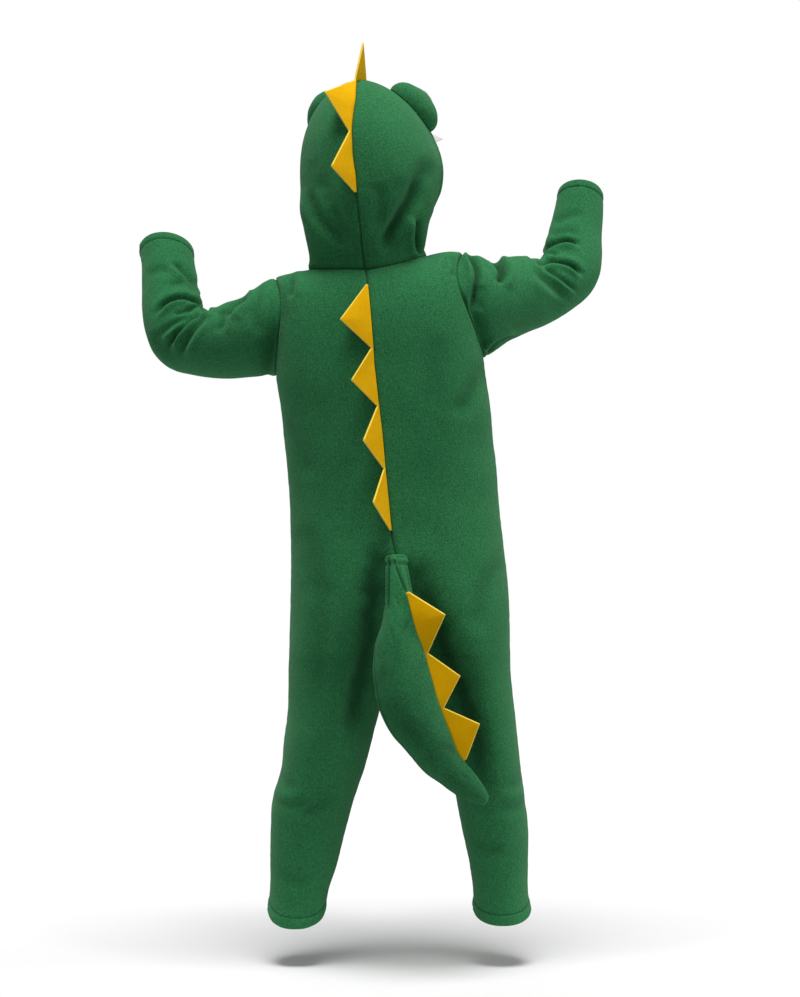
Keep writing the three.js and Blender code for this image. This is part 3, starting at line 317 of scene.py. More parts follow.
def lean_by(x, z0, z):
    return 1 + np.where(x > 0, LEAN["left"], LEAN["right"]) * np.clip((z - z0) / 140, 0, 1.2)


def unleaned(x, z):
    q = x
    for _ in range(8):
        q = x / lean_by(x, chest_level(q), z)
    return q


def neck_point(side, t):
    s = 1 if side == "left" else -1
    t = np.asarray(t, float)
    c = np.cos(rad(t))
    across = power(np.sin(rad(t)), 2 / NECK_POWER)
    x = s * NECK_WIDTH * across + NECK_TURN * c
    y = np.where(np.abs(t - 90) < 1e-6, 0, NECK_DEPTH * np.sign(c) * power(c, 2 / NECK_POWER))
    rise = 3 * across**2 if side == "left" else NECK_RISE * power(across, 1.6)
    return np.stack([x, y, rise - NECK_DROP - 20 * smooth(90, 180, t)], axis=-1)


def yoke_column(side, face, u):
    u = np.asarray(u, float)
    row = CHEST[side, face]
    k = np.where(u <= 1, u * SIDE_SHARE, SIDE_SHARE + (u - 1) * (1 - SIDE_SHARE))
    base = np.interp(k * 200, np.arange(201), row[:, 0])
    neck, sh = neck_point(side, 90), SHOULDER[side]
    zt = mix(sh["tip"], neck[2], smooth(-0.3, 1.2, u) * 0.5 + u * 0.5) + sh["crown"] * np.sin(np.pi * u)
    zt = np.where(u >= 1, neck[2], np.where(u <= 0, sh["tip"], zt))
    near = np.stack([mix(sh["x"], neck[0], u), 0 * u, zt], axis=-1)
    far = neck_point(side, np.where(u <= 1, 90, 90 * (2 - u) if face > 0 else 90 * u))
    top = np.where((u <= 1)[..., None], near, far)
    x1 = unleaned(top[..., 0], top[..., 2])
    ratio = np.clip(power(top[..., 1] / chest_depth(x1, face), YOKE_POWER / 2), 0, 1)
    reach = np.where(u <= 1, 90, np.degrees(np.arccos(ratio)))
    z0 = chest_level(x1)
    ridge = z0 + (top[..., 2] - z0) / power(np.sin(rad(reach)), 2 / YOKE_POWER)
    return dict(base=base, x1=x1, reach=reach, ridge=ridge, top=top)


def yoke_points(side, face, u, v):
    """Points at columns u and rows v."""
    c = {k: a[None, ...] for k, a in yoke_column(side, face, u).items()}
    neck, tip = yoke_column(side, face, np.array(1.0)), yoke_column(side, face, np.array(0.0))
    u, v = u[None, :], np.asarray(v, float)[:, None]
    x = mix(c["base"], c["x1"], v)
    hole = ARMHOLE[side]
    edge = chest_x(hole["depth"] * power(1 - power(1 - v, 3), hole["bow"]), side, face)
    e = np.where(v >= 1, tip["x1"], mix(edge, tip["x1"], smooth(hole["start"], 1, v)))
    x0, xk = mix(tip["base"], tip["x1"], v), mix(neck["base"], neck["x1"], v)
    x = np.where(u < 1, e + (x - x0) * (xk - e) / (xk - x0), x)
    th, z0 = rad(c["reach"] * v), chest_level(x)
    z = z0 + (c["ridge"] - z0) * power(np.sin(th), 2 / YOKE_POWER)
    y = face * chest_depth(x, face) * power(np.cos(th), 2 / YOKE_POWER)
    p = np.stack([x * lean_by(x, chest_level(x), z), y, z], axis=-1)
    return np.where((v >= 1)[..., None], c["top"], p)


PITCH = 3.0
SIDE_FR = graded(71, PITCH, start=True)
NECK_FR = graded(89, PITCH, start=False, end=True)
ROW_FR = np.concatenate([SIDE_FR * SIDE_SHARE, SIDE_SHARE + NECK_FR[1:] * (1 - SIDE_SHARE)])
NS = len(SIDE_FR) - 1  # the column under the neck side
YOKE_V = 1 - graded(158, 2.2, first=0.4)[:-1]
HOOD_A = graded(400, PITCH, first=0.4, start=True, end=True)
LEVELS = np.concatenate([
    np.linspace(CHEST_Z, CROTCH + 14, 122),
    CROTCH + 14 * (1 - np.linspace(0, 1, 16)[1:-1]) ** 1.8,
    [CROTCH],
    CROTCH - 12 * np.linspace(0, 1, 9)[1:] ** 1.4,
    np.linspace(CROTCH - 12, HEM_Z + 24, 101)[1:],
    HEM_Z + 24 - np.array([1.8, 3.4, 5, 6.4, 7.6, 8.6, 9.3, 9.9, 10.5, 11.1, 11.7, 12.3, 13, 13.9, 15, 16.5, 18.2, 20, 21.6, 22.8, 23.6, 24]),
])


def panel(side, face):
    seg1 = np.linspace(0, 1, 73)
    a = spread(yoke_points(side, face, seg1, YOKE_V), SIDE_FR)
    b = spread(yoke_points(side, face, 1 + seg1, YOKE_V), NECK_FR)
    top = yoke_points(side, face, 1 + NECK_FR, np.array([1.0]))
    b[0] = top[0]
    yoke = np.concatenate([a, b[:, 1:]], axis=1)
    body = spread(body_rows(side, face, LEVELS), ROW_FR)
    low = body[..., 2]
    drop = HEM_DROP[side] * body[..., 1] * smooth(HEM_DROP["from"], HEM_DROP["to"], low)
    body[..., 2] = low - drop
    grid = np.concatenate([yoke, body], axis=0)
    return relax(grid, 2)


def relax(grid, times, wrap=False):
    """Evens out the pitch of the inner points, a little."""
    g = grid.copy()
    for _ in range(times):
        m = g.copy()
        m[1:-1] = (g[:-2] + 2 * g[1:-1] + g[2:]) / 4
        if wrap:
            h = (np.roll(m, 1, 1) + 2 * m + np.roll(m, -1, 1)) / 4
            h[0], h[-1] = g[0], g[-1]
            g = h
        else:
            h = m.copy()
            h[:, 1:-1] = (m[:, :-2] + 2 * m[:, 1:-1] + m[:, 2:]) / 4
            h[0], h[-1], h[:, 0], h[:, -1] = g[0], g[-1], g[:, 0], g[:, -1]
            g = h
    return g


# ---------- sleeves ----------
def sleeve(side, loop, phi):
    rings, n = SLEEVE[side], len(SLEEVE[side]["y"])
    c = np.stack([(rings["xi"] + rings["xo"]) / 2, rings["y"], (rings["zi"] + rings["zo"]) / 2], axis=-1)
    start = np.array([121.0 if side == "left" else -140.0, 0, -79.0 if side == "left" else -51.0])
    made = [loop]
    for i in range(n):
        before = c[i - 1] if i else start
        along = c[i + 1] - before if i < n - 1 else c[i] - before
        down = np.array([rings["xo"][i], rings["y"][i], rings["zo"][i]]) - c[i]
        back = unit(np.cross(down, along))
        back = back if back[1] > 0 else -back
        back = unit(mix(back, np.array([0, 1.0, 0]), 1 - smooth(-1, 4, i)))
        made.append(c[i] + np.cos(phi)[:, None] * down + rings["d"][i] * np.sin(phi)[:, None] * back)
    keys = np.array(made)
    run = np.concatenate([[0], np.cumsum(np.linalg.norm(np.diff(keys.mean(1), axis=0), axis=1))])
    at = graded(run[-1] - 20, 2.0, first=0.4) * (run[-1] - 20)
    at = np.concatenate([at, run[-1] - 20 + np.array([1.8, 3.4, 4.8, 6, 7, 7.7, 8.3, 8.9, 9.5, 10.2, 11, 12.2, 13.8, 15.4, 17, 18.3, 19.2, 19.7, 20])])
    return spline(keys, run, at)


def spline(keys, run, at):
    """Rows of points on a smooth curve through the key rows."""
    i = np.clip(np.searchsorted(run, at, side="right") - 1, 0, len(run) - 2)
    h = run[i + 1] - run[i]
    u = ((at - run[i]) / h)[:, None, None]
    tan = np.gradient(keys, run, axis=0)
    tan[0] = (keys[1] - keys[0]) / (run[1] - run[0])
    h = h[:, None, None]
    return keys[i] * (1 + u * u * (2 * u - 3)) + tan[i] * h * u * (1 - u) ** 2 + keys[i + 1] * u * u * (3 - 2 * u) - tan[i + 1] * h * u * u * (1 - u)


# ---------- hood ----------
def hood_point(side, a, t):
    """side is +1 for the garment's left, or -1."""
    a, t, side = np.broadcast_arrays(np.asarray(a, float), np.asarray(t, float), np.asarray(side, float))
    r = lookup(HOOD, "a", a)
    c = np.cos(rad(t))
    e = np.where(t < 90, np.where(side > 0, r["n"], r["q"]), r["m"])
    mid, half = (r["r"] + THROAT["r"]) / 2, (r["r"] - THROAT["r"]) / 2
    far = mid + half * np.sign(c) * power(c, 2 / e)
    x = side * r["w"] * power(np.sin(rad(t)), 2 / e)
    y = THROAT["y"] + far * np.cos(rad(a))
    z = THROAT["z"] + far * np.sin(rad(a))
    free = smooth(*HOOD_FREE, z)
    yaw, roll = rad(HOOD_YAW) * free, rad(HOOD_ROLL) * free
    x, y = x * np.cos(yaw) + y * np.sin(yaw), y * np.cos(yaw) - x * np.sin(yaw)
    x, z = x * np.cos(roll) + z * np.sin(roll), z * np.cos(roll) - x * np.sin(roll)
    x = x + HOOD_SHIFT * free + lookup(HOOD_SWAY, "z", z)["dx"] * smooth(-40, 60, y)
    sit = 1 - smooth(0, 26, a)
    nz = np.where(side > 0, neck_point("left", t)[..., 2], neck_point("right", t)[..., 2])
    return np.stack([x + NECK_TURN * c * sit, y, z + sit * (nz - THROAT["z"])], axis=-1)


def hood_centre(a):
    return (hood_point(1, a, 90) + hood_point(-1, a, 90)) / 2


def hood_normal(side, a, t):
    e = 0.4
    pa = hood_point(side, a + e, t) - hood_point(side, a - e, t)
    pt = hood_point(side, a, t + e) - hood_point(side, a, np.maximum(0, t - e))
    n = unit(np.cross(pt, pa))
    out = hood_point(side, a, t) - hood_centre(60)
    return n * np.sign((n * out).sum(-1, keepdims=True))


# ---------- meshes ----------
made = {}


def mesh_object(name, verts, faces, mats, index=None, smooth_faces=True):
    """verts in millimetres."""
    me = bpy.data.meshes.new(name)
    me.from_pydata((np.asarray(verts) * MM).tolist(), [], faces)
    for m in mats:
        me.materials.append(m)
    if index is not None:
        me.polygons.foreach_set("material_index", np.asarray(index, dtype=np.int32))
    me.polygons.foreach_set("use_smooth", np.full(len(me.polygons), smooth_faces))
    me.update()
    ob = bpy.data.objects.new(name, me)
    bpy.context.scene.collection.objects.link(ob)
    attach(ob, "root")
    made[name] = ob
    return ob


def paint_shade(name, amount):
    """How much painted shade darkens the first points of a piece, from 0 to 1."""
    me = made[name].data
    value = np.zeros(len(me.vertices), np.float32)
    value[:amount.size] = np.clip(amount, 0, 1).reshape(-1)
    me.attributes.new("painted_shade", "FLOAT", "POINT").data.foreach_set("value", value)


def signed_volume(verts, faces):
    v = np.asarray(verts)
    total = 0.0
    quads = np.array([f for f in faces if len(f) == 4])
    if len(quads):
        for tri in (quads[:, [0, 1, 2]], quads[:, [0, 2, 3]]):
            a, b, c = v[tri[:, 0]], v[tri[:, 1]], v[tri[:, 2]]
            total += np.einsum("ij,ij->i", a, np.cross(b, c)).sum() / 6
    for f in faces:
        if len(f) != 4:
            for k in range(1, len(f) - 1):
                total += np.dot(v[f[0]], np.cross(v[f[k]], v[f[k + 1]])) / 6
    return total


def closed(name, outer, inner, mats, wrap=False, round_end=False, round_top=False, round_sides=False, edge_index=0, roundness=1.0):
    """A wall between two grids of points, with plain or rounded edges."""
    rows, cols = outer.shape[:2]
    verts = [outer.reshape(-1, 3), inner.reshape(-1, 3)]
    count = [2 * rows * cols]
    ido = np.arange(rows * cols).reshape(rows, cols)
    idi = ido + rows * cols
    faces, index = [], []

    def add(f, k=0):
        faces.append(f)
        index.append(k)

    def strip(a, b, loop=False, k=0):
        n = len(a)
        for j in range(n if loop else n - 1):
            j2 = (j + 1) % n
            add((int(a[j]), int(a[j2]), int(b[j2]), int(b[j])), k)

    def quads(ids, flip):
        a = ids[:-1, :] if wrap else ids[:-1, :-1]
        b = np.roll(ids, -1, 1)[:-1, :] if wrap else ids[:-1, 1:]
        c = np.roll(ids, -1, 1)[1:, :] if wrap else ids[1:, 1:]
        d = ids[1:, :] if wrap else ids[1:, :-1]
        order = (a, d, c, b) if flip else (a, b, c, d)
        q = np.stack([o.reshape(-1) for o in order], axis=-1).tolist()
        faces.extend(tuple(x) for x in q)
        index.extend([0] * len(q))

    quads(ido, False)
    quads(idi, True)

    def border(o, i, od, idn):
        """Rows of ids from the outer to the inner edge; od is the direction out of the edge."""
        lines = [o]
        if od is not None:
            po, pi = outer.reshape(-1, 3)[o], inner.reshape(-1, 3)[i - rows * cols]
            mid, half = (po + pi) / 2, (po - pi) / 2
            size = np.linalg.norm(half, axis=1, keepdims=True) * roundness
            for ang in (45, 90, 135):
                pts = mid + half * math.cos(math.radians(ang)) + od * size * math.sin(math.radians(ang))
                verts.append(pts)
                lines.append(np.arange(count[0], count[0] + len(pts)))
                count[0] += len(pts)
        lines.append(i)
        return lines

    end_dir = unit(outer[-1] - outer[-3] + inner[-1] - inner[-3]) if round_end else None
    top_dir = unit(outer[0] - outer[2] + inner[0] - inner[2]) if round_top else None
    end = border(ido[-1], idi[-1], end_dir, 1)
    top = border(ido[0], idi[0], top_dir, -1)
    for a, b in zip(end[:-1], end[1:]):
        strip(a, b, wrap, edge_index)
    for a, b in zip(top[:-1], top[1:]):
        strip(b, a, wrap, edge_index)
    if not wrap:
        for col in (0, cols - 1):
            corner_t, corner_e = [int(x[col]) for x in top], [int(x[col]) for x in end]
            o, i = ido[:, col], idi[:, col]
            lines = [o, i]
            if round_sides:
                near = 1 if col == 0 else cols - 2
                po, pi = outer[:, col], inner[:, col]
                mid, half = (po + pi) / 2, (po - pi) / 2
                od = unit(po - outer[:, near])
                pts = mid + od * np.linalg.norm(half, axis=1, keepdims=True)
                verts.append(pts)
                m = np.arange(count[0], count[0] + rows)
                count[0] += rows
                lines = [o, m, i]
            for a, b in zip(lines[:-1], lines[1:]):
                if col == 0:
                    strip(a, b, False, edge_index)
                else:
                    strip(b, a, False, edge_index)
            # the small ends of the rounded borders
            for corner, at in ((corner_t, 0), (corner_e, rows - 1)):
                loop = [int(line[at]) for line in lines]
                poly = corner + loop[::-1][1:-1]
                if len(poly) > 2:
                    flip = (at == 0) == (col == 0)
                    add(tuple(poly) if flip else tuple(poly[::-1]), edge_index)
    v = np.concatenate(verts)
    if signed_volume(v, faces) < 0:
        faces = [tuple(f[::-1]) for f in faces]
    return mesh_object(name, v, faces, mats, index)


# Normals that pieces share along their seams.
_shared = {}


def key_of(p):
    return tuple(np.round(p * 50).astype(int))


def own_normals(grid, sign, wrap=False):
    nxt = np.roll(grid, -1, 1) if wrap else grid[:, 1:]
    a = grid[:-1] if wrap else grid[:-1, :-1]
    b, c = nxt[:-1], nxt[1:]
    d = grid[1:] if wrap else grid[1:, :-1]
    n = unit(np.cross(c - a, d - b)) * sign
    out = np.zeros_like(grid)
    if wrap:
        for shift in (0, 1):
            out[:-1] += np.roll(n, shift, 1)
            out[1:] += np.roll(n, shift, 1)
    else:
        out[:-1, :-1] += n
        out[:-1, 1:] += n
        out[1:, :-1] += n
        out[1:, 1:] += n
    return unit(out)


def border_ids(grid, wrap):
    r, c = grid.shape[:2]
    ids = [(0, j) for j in range(c)] + [(r - 1, j) for j in range(c)]
    if not wrap:
        ids += [(i, 0) for i in range(1, r - 1)] + [(i, c - 1) for i in range(1, r - 1)]
    return ids


def share(grid, normals, wrap=False):
    for i, j in border_ids(grid, wrap):
        k = key_of(grid[i, j])
        _shared[k] = _shared.get(k, 0) + normals[i, j]


def settle(grid, normals, wrap=False):
    """Takes the shared normals at the border and fades the change out over a few millimetres."""
    out = normals.copy()
    for i, j in border_ids(grid, wrap):
        out[i, j] = unit(_shared[key_of(grid[i, j])])
    edge = out.copy()
    top, end, first, last = runs(grid, wrap)
    out = normals + (edge[:1] - normals[:1]) * np.exp(-top / 3.0)[..., None] + (edge[-1:] - normals[-1:]) * np.exp(-end / 3.0)[..., None]
    if not wrap:
        out = out + (edge[:, :1] - normals[:, :1]) * np.exp(-first / 3.0)[..., None] + (edge[:, -1:] - normals[:, -1:]) * np.exp(-last / 3.0)[..., None]
    out = unit(out)
    for i, j in border_ids(grid, wrap):
        out[i, j] = edge[i, j]
    return out


def runs(grid, wrap):
    """Distance of each point from the first and last column and from the first and last row, along the cloth."""
    down = np.linalg.norm(np.diff(grid, axis=0), axis=2)
    from_top = np.concatenate([np.zeros((1, grid.shape[1])), np.cumsum(down, 0)])
    from_end = from_top[-1] - from_top
    if wrap:
        ring = np.linalg.norm(np.roll(grid, -1, 1) - grid, axis=2)
        first = np.concatenate([np.zeros((len(grid), 1)), np.cumsum(ring, 1)[:, :-1]], axis=1)
        total = ring.sum(1, keepdims=True)
        return from_top, from_end, first, total - first
    across = np.linalg.norm(np.diff(grid, axis=1), axis=2)
    first = np.concatenate([np.zeros((len(grid), 1)), np.cumsum(across, 1)], axis=1)
    return from_top, from_end, first, first[:, -1:] - first


def seam_dip(d, p):
    """The cloth turns in at a seam, swells beside it and puckers along it."""
    pucker = noise(p / 6.5) * 0.5 + noise(p / 17.0 + 5.2) * 0.6
    return -2.1 * np.exp(-((d / 1.15) ** 2)) - 0.5 * np.exp(-((d / 3.6) ** 2)) + (0.55 + 0.5 * pucker) * np.exp(-(((d - 6.0) / 4.0) ** 2))


def stitch_dip(d, at, p):
    """A sewn line at a distance from an edge, with the cloth soft between it and the edge."""
    pucker = 1 + 0.4 * noise(p / 5.0 + 2.6)
    return -1.3 * pucker * np.exp(-(((d - at) / 1.0) ** 2)) - 0.35 * np.exp(-(((d - at) / 2.6) ** 2)) + 0.35 * np.exp(-(((d - at * 0.45) / (at * 0.35)) ** 2))


def near_line(px, pz, line):
    """Signed distance from a line of points and the share of its length, on the picture plane."""
    line = np.asarray(line, float)
    best = np.full(px.shape, 1e9)
    side = np.zeros(px.shape)
    share_ = np.zeros(px.shape)
    seg = np.linalg.norm(np.diff(line, axis=0), axis=1)
    run = np.concatenate([[0], np.cumsum(seg)])
    for k in range(len(line) - 1):
        (ax, az), (bx, bz) = line[k], line[k + 1]
        ux, uz = (bx - ax) / seg[k], (bz - az) / seg[k]
        t = np.clip((px - ax) * ux + (pz - az) * uz, 0, seg[k])
        dx, dz = px - (ax + ux * t), pz - (az + uz * t)
        d = np.hypot(dx, dz)
        less = d < best
        best = np.where(less, d, best)
        side = np.where(less, np.sign(dx * uz - dz * ux), side)
        share_ = np.where(less, (run[k] + t) / run[-1], share_)
    return best * side, share_


def curve(points, n=9):
    """A smooth line through a few points."""
    p = np.asarray(points, float)
    if len(p) < 3:
        return p
    run = np.concatenate([[0], np.cumsum(np.linalg.norm(np.diff(p, axis=0), axis=1))])
    return spline(p[:, None, :], run, np.linspace(0, run[-1], n))[:, 0]


# Each: piece, 1 behind or -1 in front, points (x, z), depth (negative for a ridge), half width,
# lip: height of the roll beside it (+ on one side, - on the other), open: how fully it starts at its first point.
CREASES = [(on, face, curve(points), depth, width, lip, open_) for on, face, points, depth, width, lip, open_ in [
    ("hood_right", 1, [(-73, 118), (-63, 86), (-40, 52), (-25, 28), (-16, 14)], 3.4, 6.5, 1.2, 0.2),
    ("hood_right", 1, [(-66, 64), (-66, 50), (-65, 36), (-69, 19), (-77, 9)], 5.0, 3.6, -2.5, 0.1),
    ("hood_right", 1, [(-11, 105), (-18, 75), (-13, 40)], 1.4, 8.0, 0, 0),
    ("hood_left", 1, [(80, 104), (67, 66), (47, 40), (24, 18)], 2.4, 6.0, -1.2, 0.2),
    ("hood_left", 1, [(70, 140), (72, 114), (66, 88)], 0.6, 7.5, 0, 0),
    ("hood_left", 1, [(48, 75), (31, 45), (15, 29)], 1.2, 6.0, 0, 0),
    ("sleeve_left", 1, [(217, -55), (236, -39), (254, -36), (272, -42), (292, -64)], 4.6, 3.0, 2.8, 0.8),
    ("sleeve_left", 1, [(224, -51), (246, -56), (266, -61)], 2.4, 2.4, 1.0, 0.3),
    ("sleeve_left", 1, [(230, -46), (247, -44)], 1.0, 2.0, 0, 0),
    ("sleeve_left", 1, [(217, -55), (236, -68), (252, -82), (272, -108)], 5.0, 3.2, 2.8, 0.5),
    ("sleeve_left", 1, [(226, -57), (255, -70), (286, -92)], 2.4, 3.6, 1.2, 0),
    ("sleeve_left", 1, [(214, -64), (232, -82), (243, -98), (252, -120)], 3.0, 3.8, 1.4, 0.2),
    ("sleeve_left", 1, [(196, -54), (192, -68), (197, -90)], 2.4, 5.0, 0.6, 0.1),
    ("sleeve_left", 1, [(166, -42), (179, -52), (188, -68)], 4.2, 5.0, 1.8, 1),
    ("sleeve_left", 1, [(143, -30), (147, -59), (139, -99)], 1.8, 8.0, 0, 0.6),
    ("sleeve_left", 1, [(268, 18), (250, 0), (232, -22)], 2.6, 3.2, -2.2, 0),
    ("sleeve_left", 1, [(304, -4), (286, 4), (262, 2)], 1.3, 5.0, 0, 0),
    ("sleeve_left", 1, [(274, -18), (251, -16), (230, -27)], 1.7, 4.6, 0, 0.3),
    ("sleeve_left", 1, [(292, -81), (278, -103), (257, -116)], 1.4, 8.0, 0, 0),
    ("sleeve_right", 1, [(-230, 23), (-247, 38), (-267, 44), (-292, 38)], 5.2, 3.4, -2.8, 0.7),
    ("sleeve_right", 1, [(-230, 9), (-249, 13), (-270, 9), (-292, -8)], 5.2, 3.0, -2.4, 0.7),
    ("sleeve_right", 1, [(-231, 16), (-244, 22), (-260, 22)], 2.0, 2.0, -1.2, 0.3),
    ("sleeve_right", 1, [(-227, 6), (-252, -8), (-286, -32)], 2.4, 2.8, -2.4, 0.2),
    ("sleeve_right", 1, [(-220, -2), (-246, -24), (-282, -46)], 1.4, 4.6, -0.8, 0),
    ("sleeve_right", 1, [(-168, 12), (-177, -2), (-179, -12), (-171, -25)], 6.5, 4.2, 1.8, 1),
    ("sleeve_right", 1, [(-136, 15), (-143, -3), (-144, -17), (-139, -40), (-135, -66)], 4.8, 3.4, -2.6, 1),
    ("sleeve_right", 1, [(-150, -25), (-144, -64)], 1.8, 8.0, 0, 0),
    ("sleeve_right", 1, [(-156, 6), (-159, -8)], 1.6, 4.0, 0, 0.8),
    ("sleeve_right", 1, [(-250, 70), (-270, 80), (-298, 86)], 1.3, 5.0, 0, 0),
    ("sleeve_right", 1, [(-247, 50), (-269, 56), (-291, 48)], 1.5, 5.0, 0, 0),
    ("sleeve_right", 1, [(-154, -124), (-174, -102), (-202, -92)], 3.6, 3.2, 2.2, 1),
    ("sleeve_right", 1, [(-182, -82), (-213, -72), (-239, -53)], 1.2, 9.0, 0, 0),
    ("back_left", 1, [(101, -14), (100, -27), (101, -46)], 2.4, 3.8, 0.8, 0.7),
    ("back_left", 1, [(110, -19), (109, -47), (109, -86)], 1.0, 5.0, 0, 0),
    ("back_left", 1, [(104, -200), (91, -241), (73, -283)], 0.5, 10.0, 0, 0),
    ("back_left", 1, [(87, -334), (72, -386), (64, -451)], 1.3, 16.0, 0, 0),
    ("back_left", 1, [(-13, -392), (-2, -491), (17, -595), (27, -647)], 5.6, 13.5, 0, 0.5),
    ("back_left", 1, [(49, -387), (59, -491), (57, -596)], 1.2, 15.0, 0, 0),
    ("back_left", 1, [(126, -705), (104, -710), (73, -704)], 1.0, 7.0, 0.6, 0.6),
    ("back_left", 1, [(124, -668), (107, -683), (88, -685)], 1.2, 7.0, 0, 0.5),
    ("back_left", 1, [(52, -702), (70, -717), (88, -721)], 1.2, 8.0, 0, 0.3),
    ("back_left", 1, [(120, -797), (99, -807), (73, -803)], 1.0, 8.0, 0, 0.3),
    ("back_right", 1, [(-113, 9), (-115, -4), (-110, -20)], 1.8, 4.5, 0, 0.8),
    ("back_right", 1, [(-102, 6), (-100, -9)], 1.2, 4.0, 0, 0.8),
    ("back_right", 1, [(-146, -142), (-133, -176), (-110, -205)], 1.5, 10.0, 0, 0.4),
    ("back_right", 1, [(-179, -380), (-152, -425), (-133, -490)], 1.6, 14.0, 0, 0.3),
    ("back_right", 1, [(-64, -412), (-92, -490), (-118, -556), (-143, -634), (-151, -725)], 5.4, 15.0, 0, 0.5),
    ("back_right", 1, [(-214, -704), (-194, -712), (-166, -706)], 1.0, 7.0, -0.6, 0.6),
    ("back_right", 1, [(-210, -672), (-193, -684), (-176, -683)], 1.1, 7.0, 0, 0.4),
    ("back_right", 1, [(-141, -755), (-161, -768), (-184, -765)], 1.1, 8.0, 0, 0.4),
    ("back_right", 1, [(-94, -88), (-84, -142), (-89, -205)], 0.9, 16.0, 0, 0),
    # in front, by the pose
    ("sleeve_left", -1, [(229, -42), (250, -62), (276, -96)], 5.2, 4.2, 2.4, 1),
    ("sleeve_left", -1, [(231, -33), (262, -40), (294, -60)], 4.6, 4.0, 2.0, 1),
    ("sleeve_left", -1, [(226, -49), (236, -78), (244, -122)], 4.2, 4.6, -1.6, 1),
    ("sleeve_left", -1, [(235, -14), (268, -9), (300, -2)], 2.4, 6.0, 0, 0.8),
    ("sleeve_left", -1, [(150, -40), (160, -80), (157, -125)], 2.2, 7.0, 0, 0.3),
    ("sleeve_left", -1, [(176, -48), (190, -85), (214, -122)], 2.6, 6.0, 1.0, 0.3),
    ("sleeve_right", -1, [(-226, 15), (-256, 2), (-282, -28)], 5.2, 4.2, -2.4, 1),
    ("sleeve_right", -1, [(-232, 25), (-264, 22), (-304, 8)], 4.6, 4.0, -2.0, 1),
    ("sleeve_right", -1, [(-220, 12), (-232, -22), (-239, -62)], 4.2, 4.6, 1.6, 1),
    ("sleeve_right", -1, [(-239, 50), (-275, 53), (-314, 47)], 2.4, 6.0, 0, 0.8),
    ("sleeve_right", -1, [(-158, 4), (-172, -40), (-175, -92)], 2.4, 6.5, 0, 0.3),
    ("front_left", -1, [(110, -98), (88, -140), (58, -167)], 2.4, 9.0, 1.0, 0.4),
    ("front_left", -1, [(102, -186), (68, -226), (24, -252)], 2.2, 10.0, 0, 0.4),
    ("front_left", -1, [(-45, -498), (-10, -470), (42, -455)], 2.6, 7.0, 1.0, 0.5),
    ("front_left", -1, [(-42, -514), (-4, -532), (52, -577)], 2.4, 8.0, 0, 0.5),
    ("front_left", -1, [(112, -690), (78, -701), (40, -694)], 3.0, 7.5, 1.2, 0.6),
    ("front_left", -1, [(124, -719), (82, -729), (48, -722)], 2.4, 8.0, 0, 0.4),
    ("front_left", -1, [(127, -800), (95, -809), (68, -800)], 1.8, 8.0, 0, 0.4),
    ("front_right", -1, [(-142, -88), (-116, -132), (-82, -161)], 2.4, 9.0, -1.0, 0.4),
    ("front_right", -1, [(-158, -178), (-126, -222), (-78, -247)], 2.2, 10.0, 0, 0.4),
    ("front_right", -1, [(-59, -498), (-95, -470), (-147, -455)], 2.6, 7.0, -1.0, 0.5),
    ("front_right", -1, [(-61, -514), (-100, -534), (-157, -580)], 2.4, 8.0, 0, 0.5),
    ("front_right", -1, [(-196, -691), (-160, -702), (-122, -694)], 3.0, 7.5, -1.2, 0.6),
    ("front_right", -1, [(-204, -721), (-168, -731), (-132, -723)], 2.4, 8.0, 0, 0.4),
    ("front_right", -1, [(-208, -802), (-176, -810), (-148, -801)], 1.8, 8.0, 0, 0.4),
]]


# ---------- materials ----------
def lin(*c):
    """A colour from 0 to 255 steps."""
    return tuple(x / 255 / 12.92 if x <= 10 else ((x / 255 + 0.055) / 1.055) ** 2.4 for x in c) + (1.0,)


